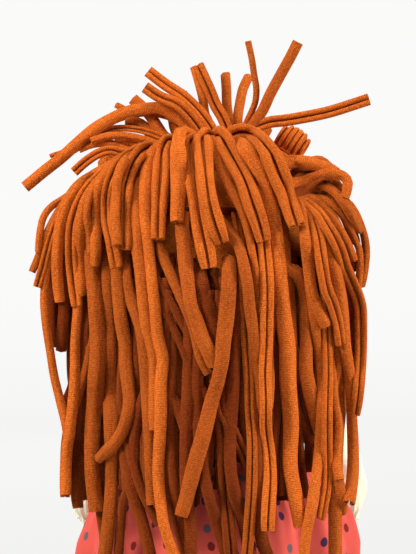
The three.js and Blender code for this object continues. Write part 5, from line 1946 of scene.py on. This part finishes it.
@dataclass
class Blouse:
    """The cream blouse: a body under the dress and two puffed sleeves."""

    material: Material
    thread: Material
    stitches: StitchSweep
    thickness: float = 0.0009
    body_z: Pair = (0.074, 0.1583)
    body_gap: float = 0.0005
    arm_room: Pair = (0.0138, 0.004)
    gathers: int = 20
    radius: float = 0.0152
    armhole: float = 0.0088
    armhole_in: float = 0.0117
    covered: Pair = (0.105, 0.785)
    stitched_row: int = -5
    shoulder: Place = (0.059534, 0.0, 0.147)
    arm_offsets: tuple[Place, ...] = (
        (-0.00715, 0.0013, 0.0052), (0.017, -0.01, -0.02356), (0.034, -0.05, -0.062),
        (0.031, -0.098, -0.118),
    )
    rows: tuple[Pair, ...] = (
        (0.0, 0.97), (0.12, 1.08), (0.45, 1.02), (0.75, 1.06), (0.88, 0.98), (0.96, 0.82), (1.0, 0.86),
    )

    def arm(self, sign: int) -> Array:
        """The middle line of an arm."""
        return through(np.array(self.shoulder) + self.arm_offsets, 0.001) * [sign, 1, 1]

    def sleeve_head(self, first: Array, angle: Array, sign: int) -> list[Array]:
        """Rings of a sleeve over the shoulder, from the armhole to its first ring below.

        Args:
            first: The sleeve's first ring.
            angle: The turn of each place on it.
            sign: 1 for the left side, -1 for the right.

        Returns:
            The rings, the one at the armhole first.
        """
        middle = np.array(self.shoulder) * [sign, 1, 1]
        wide = self.armhole + 0.0004 * np.cos(self.gathers * angle)
        spokes = np.stack([np.full_like(angle, -sign * self.armhole_in), -wide * np.sin(angle),
                           wide * np.cos(angle) * sign], axis=1)
        far, near = (np.linalg.norm(ring, axis=1) for ring in (first - middle, spokes))
        rings = []
        for share in np.linspace(0, 1, 10)[:-1]:
            way = unit(unit(spokes) * (1 - share) + unit(first - middle) * share)
            reach = near * (1 - share) + far * share + 0.0012 * math.sin(math.pi * share)
            rings.append(middle + way * reach[:, None])
        return rings

    def build_sleeve(self, sign: int, side: str) -> list[Shape]:
        """A sleeve gathered at the armhole and drawn in at the cuff."""
        line = self.arm(sign)
        start, end = (int(len(line) * share) for share in self.covered)
        along = line[start:end + 1]
        tangent = unit(np.gradient(along, axis=0))
        across = unit(np.array([1.0, 0, 0]) - tangent * tangent[:, :1])
        up = np.cross(tangent, across)
        angle = turns(72)
        shares = np.linspace(0, 1, len(along))
        rows = []
        for index, share in enumerate(shares):
            size = self.radius * float(table_at(self.rows, share, 1))
            gather = 0.0006 * (1 - smooth(share * 4)) + 0.0009 * smooth((share - 0.6) * 3)
            wave = gather * np.cos(self.gathers * angle + 3 * share)
            wave = wave + 0.0007 * np.sin(5 * angle + 14 * share)
            ring = (size + wave - 0.0004)[:, None] * (np.cos(angle)[:, None] * across[index]
                                                      + np.sin(angle)[:, None] * up[index])
            rows.append(along[index] + ring)
        head = self.sleeve_head(rows[0], angle, sign)
        down = np.concatenate([np.linspace(-0.016, 0, len(head) + 1)[:-1], shares * 0.11])
        rows = head + rows
        sleeve = Sheet(f"sleeve_{side}_cloth", np.stack(rows), cloth_grid(0.12, 73, down), True)
        sleeve = sleeve.outwards().finish(self.thickness, self.material)
        edge = rows[self.stitched_row]
        row = self.stitches.sew(f"cuff_stitches_{side}", [np.vstack([edge, edge[:1]])], self.thread)
        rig.replaces(sleeve, f"sleeve_{side}")
        sheet_of(sleeve, 0.13, "gathered", [f"doll_arm_{side}"], 1.15, [row])
        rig.slot(sleeve, "cream_cotton")
        return [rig.ride(sleeve, f"arm_{side}"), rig.ride(row, f"arm_{side}")]

    def build_body(self) -> Shape:
        """The blouse's body round the torso, with room for the arms."""
        angle = turns(120)
        levels = np.linspace(*self.body_z, 34)
        rows = []
        for z in levels:
            wide, deep = TORSO.sizes(z, self.body_gap)
            ease = 0.00025 * np.sin(11 * angle + z * 500)
            rows.append(oval(angle, wide + ease, deep + ease, z))
        places = np.stack(rows)
        away = np.linalg.norm(np.abs(places) - np.array(self.shoulder), axis=2)
        places[..., 0] -= np.sign(places[..., 0]) * np.clip(self.arm_room[0] - away, 0, self.arm_room[1])
        piece = Sheet("blouse_body_cloth", places, cloth_grid(0.33, 121, levels), True)
        piece = piece.outwards().finish(self.thickness, self.material, 1.0)
        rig.replaces(piece, "blouse_body")
        sheet_of(piece, 0.3, "stretched", ["doll_torso"])
        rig.slot(piece, "cream_cotton")
        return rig.ride(piece, "torso")

    def build(self) -> list[Shape]:
        """Builds the blouse."""
        made = [self.build_body()]
        for sign, side in ((1, "left"), (-1, "right")):
            made += self.build_sleeve(sign, side)
        return made


@dataclass
class Collar:
    """The lace ruffle round the neck."""

    material: Material
    flat_width: float = 0.62
    base_z: float = 0.1655
    inner: float = 0.0175
    reach: float = 0.0375
    rise: float = 0.011
    ruffles: int = 22
    ruffle: float = 0.0048
    flutter: float = 0.0016
    scallops: int = 33
    scallop: float = 0.0011
    thickness: float = 0.0006
    cut_depth: float = 0.042

    def build(self) -> Shape:
        """Builds the ruffle with a scalloped edge."""
        angle = turns(396)
        shares = np.linspace(0, 1, 15)
        rows = []
        for share in shares:
            scallop = self.scallop * np.abs(np.sin(self.scallops * angle)) * smooth((share - 0.8) * 5)
            radius = self.inner + self.reach * share + scallop
            wave = self.ruffle * share ** 1.2 * np.sin(
                self.ruffles / 2 * angle + 0.6 * np.sin(3 * angle))
            wave += self.flutter * share * np.sin(self.ruffles * angle + 1.1)
            z = self.base_z + 0.0008 + self.rise * share ** 1.4 + wave * (0.75 + 0.25 * np.cos(angle))
            rows.append(oval(angle, radius, radius, np.maximum(z, self.base_z)))
        cloth = cloth_grid(self.flat_width, 397, shares * self.cut_depth)
        piece = Sheet("ruffle_collar_lace", np.stack(rows), cloth, True)
        piece = piece.finish(self.thickness, self.material, 0.0)
        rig.replaces(piece, "ruffle_collar")
        sheet_of(piece, self.flat_width, "gathered", ["doll_torso"], 1.1)
        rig.slot(piece, "lace")
        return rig.ride(piece, "torso")


# The room

@dataclass
class Studio:
    """A pale floor and backdrop, soft lamps, and the camera at the photograph's viewing angle."""

    distance: float = 2.4
    aim: Place = (0.0070, 0.08, 0.2324)
    half_height: float = 0.19415
    backdrop: Colour = (0.955, 0.955, 0.95)
    ground: Colour = (0.88, 0.88, 0.865)
    shade: Colour = (0.5, 0.5, 0.49)
    surround: Colour = (1.0, 0.98, 0.95)
    surround_strength: float = 0.03
    room_reach: float = 40.0
    lamps: tuple[tuple[str, Place, float, float, Colour], ...] = (
        ("left_lamp", (1.5, 0.95, 1.1), 0.7, 47.0, (1.0, 0.98, 0.95)),
        ("right_lamp", (-1.7, 0.5, 0.75), 0.7, 45.0, (1.0, 0.98, 0.95)),
        ("top_lamp", (0.1, 0.7, 1.8), 0.5, 18.0, (1.0, 1.0, 1.0)),
        ("front_lamp", (0.6, -2.0, 1.4), 1.4, 46.0, (1.0, 1.0, 1.0)),
    )

    def build_camera(self) -> None:
        """Places a level camera behind the doll."""
        data = bpy.data.cameras.new("camera")
        data.sensor_width = 36.0
        data.lens = 18.0 * self.distance / self.half_height
        camera = bpy.data.objects.new("camera", data)
        camera.location = (self.aim[0], self.aim[1] + self.distance, self.aim[2])
        camera.rotation_euler = (math.radians(90), 0, math.radians(180))
        data.clip_start, data.clip_end = 0.05, 100.0
        bpy.context.scene.collection.objects.link(camera)
        bpy.context.scene.camera = camera

    @staticmethod
    def lamp(name: str, place: Place, size: float, power: float, colour: Colour) -> None:
        """Adds a soft square lamp that points at the doll's middle."""
        data = bpy.data.lights.new(name, "AREA")
        data.size, data.energy, data.color = size, power, colour
        lamp = bpy.data.objects.new(name, data)
        lamp.location = place
        lamp.rotation_euler = (Vector((0, 0, 0.2)) - Vector(place)).to_track_quat("-Z", "Y").to_euler()
        bpy.context.scene.collection.objects.link(lamp)

    def build_ground(self) -> None:
        """A pale floor and a pale backdrop beyond the doll."""
        paint = Paint("pale_room")
        rays = paint.node("LightPath")
        seen = paint.maths("MAXIMUM", Wire(paint, rays.outputs["Is Camera Ray"]),
                           paint.maths("MAXIMUM", Wire(paint, rays.outputs["Is Glossy Ray"]),
                                       Wire(paint, rays.outputs["Is Transmission Ray"])))
        x, y, _ = paint.apart(paint.place())
        reach = paint.maths("SQRT", x * x + y * y)
        near = 1 - reach / (reach + self.distance)
        away = 1 - near * near
        glow_colour = paint.blend(away, self.ground, self.backdrop)
        surface = paint.node("BsdfDiffuse", None, {"Color": self.shade})
        glow = paint.node("Emission", None, {"Color": glow_colour, "Strength": 1.0})
        shade = paint.node("MixShader", None, {0: seen * (away * 0.2 + 0.8), 1: surface.outputs[0],
                                               2: glow.outputs[0]})
        paint.finish(shade)
        floor = bpy.data.meshes.new("floor")
        far = self.room_reach
        floor.from_pydata([(-far, -far, 0), (far, -far, 0), (far, far, 0), (-far, far, 0)], [],
                          [(0, 1, 2, 3)])
        floor.materials.append(paint.material)
        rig.stage(mesh_object("floor", floor))

    def build_world(self) -> None:
        """An even pale surround."""
        world = bpy.data.worlds.new("surround")
        bpy.context.scene.world = world
        world.use_nodes = True
        world.node_tree.nodes.clear()
        tree = Tree(world.node_tree, "ShaderNode")
        rays = tree.node("LightPath").outputs
        either = tree.node("Math", {"operation": "MAXIMUM"},
                           {0: rays["Is Camera Ray"], 1: rays["Is Glossy Ray"]})
        lit = tree.node("Background", None, {0: self.surround, 1: self.surround_strength})
        seen = tree.node("Background", None, {0: self.backdrop})
        mixed = tree.node("MixShader", None,
                          {0: either.outputs[0], 1: lit.outputs[0], 2: seen.outputs[0]})
        tree.node("OutputWorld", None, {0: mixed.outputs[0]})

    def build(self) -> None:
        """Sets up the room."""
        self.build_camera()
        self.build_ground()
        self.build_world()
        for values in self.lamps:
            self.lamp(*values)
        bpy.context.scene.view_settings.view_transform = "Standard"


def main() -> None:
    """Builds the doll's looks and the room, and reports each piece."""
    logging.basicConfig(level=logging.INFO, format="%(name)s: %(message)s")
    jersey = JerseyFinish().build()
    cap_jersey = JerseyFinish(name="jersey_cap", on_strips=False, colour=(0.44, 0.085, 0.008),
                              deep=(0.36, 0.06, 0.005)).build()
    coral = DottedFinish("coral_dotted_cotton", (0.7, 0.1, 0.075), (0.62, 0.083, 0.062)).build()
    cream = ClothFinish("cream_cotton", (0.93, 0.86, 0.66), (0.88, 0.79, 0.56)).build()
    lace = LaceFinish("lace", (0.95, 0.91, 0.8), (0.9, 0.85, 0.72)).build()
    skin = SkinFinish("skin_cotton", (0.82, 0.56, 0.37), (0.78, 0.51, 0.33), by_uv=False).build()
    dark = ThreadFinish("dark_thread", (0.03, 0.02, 0.018)).build()
    red = ThreadFinish("red_thread", (0.5, 0.03, 0.03)).build()
    white = ThreadFinish("white_thread", (0.9, 0.88, 0.82)).build()
    coral_thread = ThreadFinish("coral_thread", (0.8, 0.2, 0.14)).build()
    stitches = StitchSweep()
    Studio().build()
    doll = Body(skin).build()
    head, torso = doll[:2]
    blouse = Blouse(cream, white, stitches).build()
    made = doll + blouse
    made += Dress(coral, coral_thread, stitches, Surface(torso, blouse[0])).build()
    made.append(Collar(lace).build())
    made += FaceSewing(stitches, dark, red, white, Surface(head)).build()
    made += Hair(jersey, cap_jersey, StripSweep()).build()
    for piece in made:
        log.info("%s: %d faces", piece.name, len(piece.data.polygons))
    low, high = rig.bounds()
    with open(SIZE_FILE, "w") as handle:
        json.dump({"cad": [list(CAD_LOW), list(CAD_HIGH)], "visual": [list(low), list(high)]}, handle)


if __name__ == "__main__":
    main()
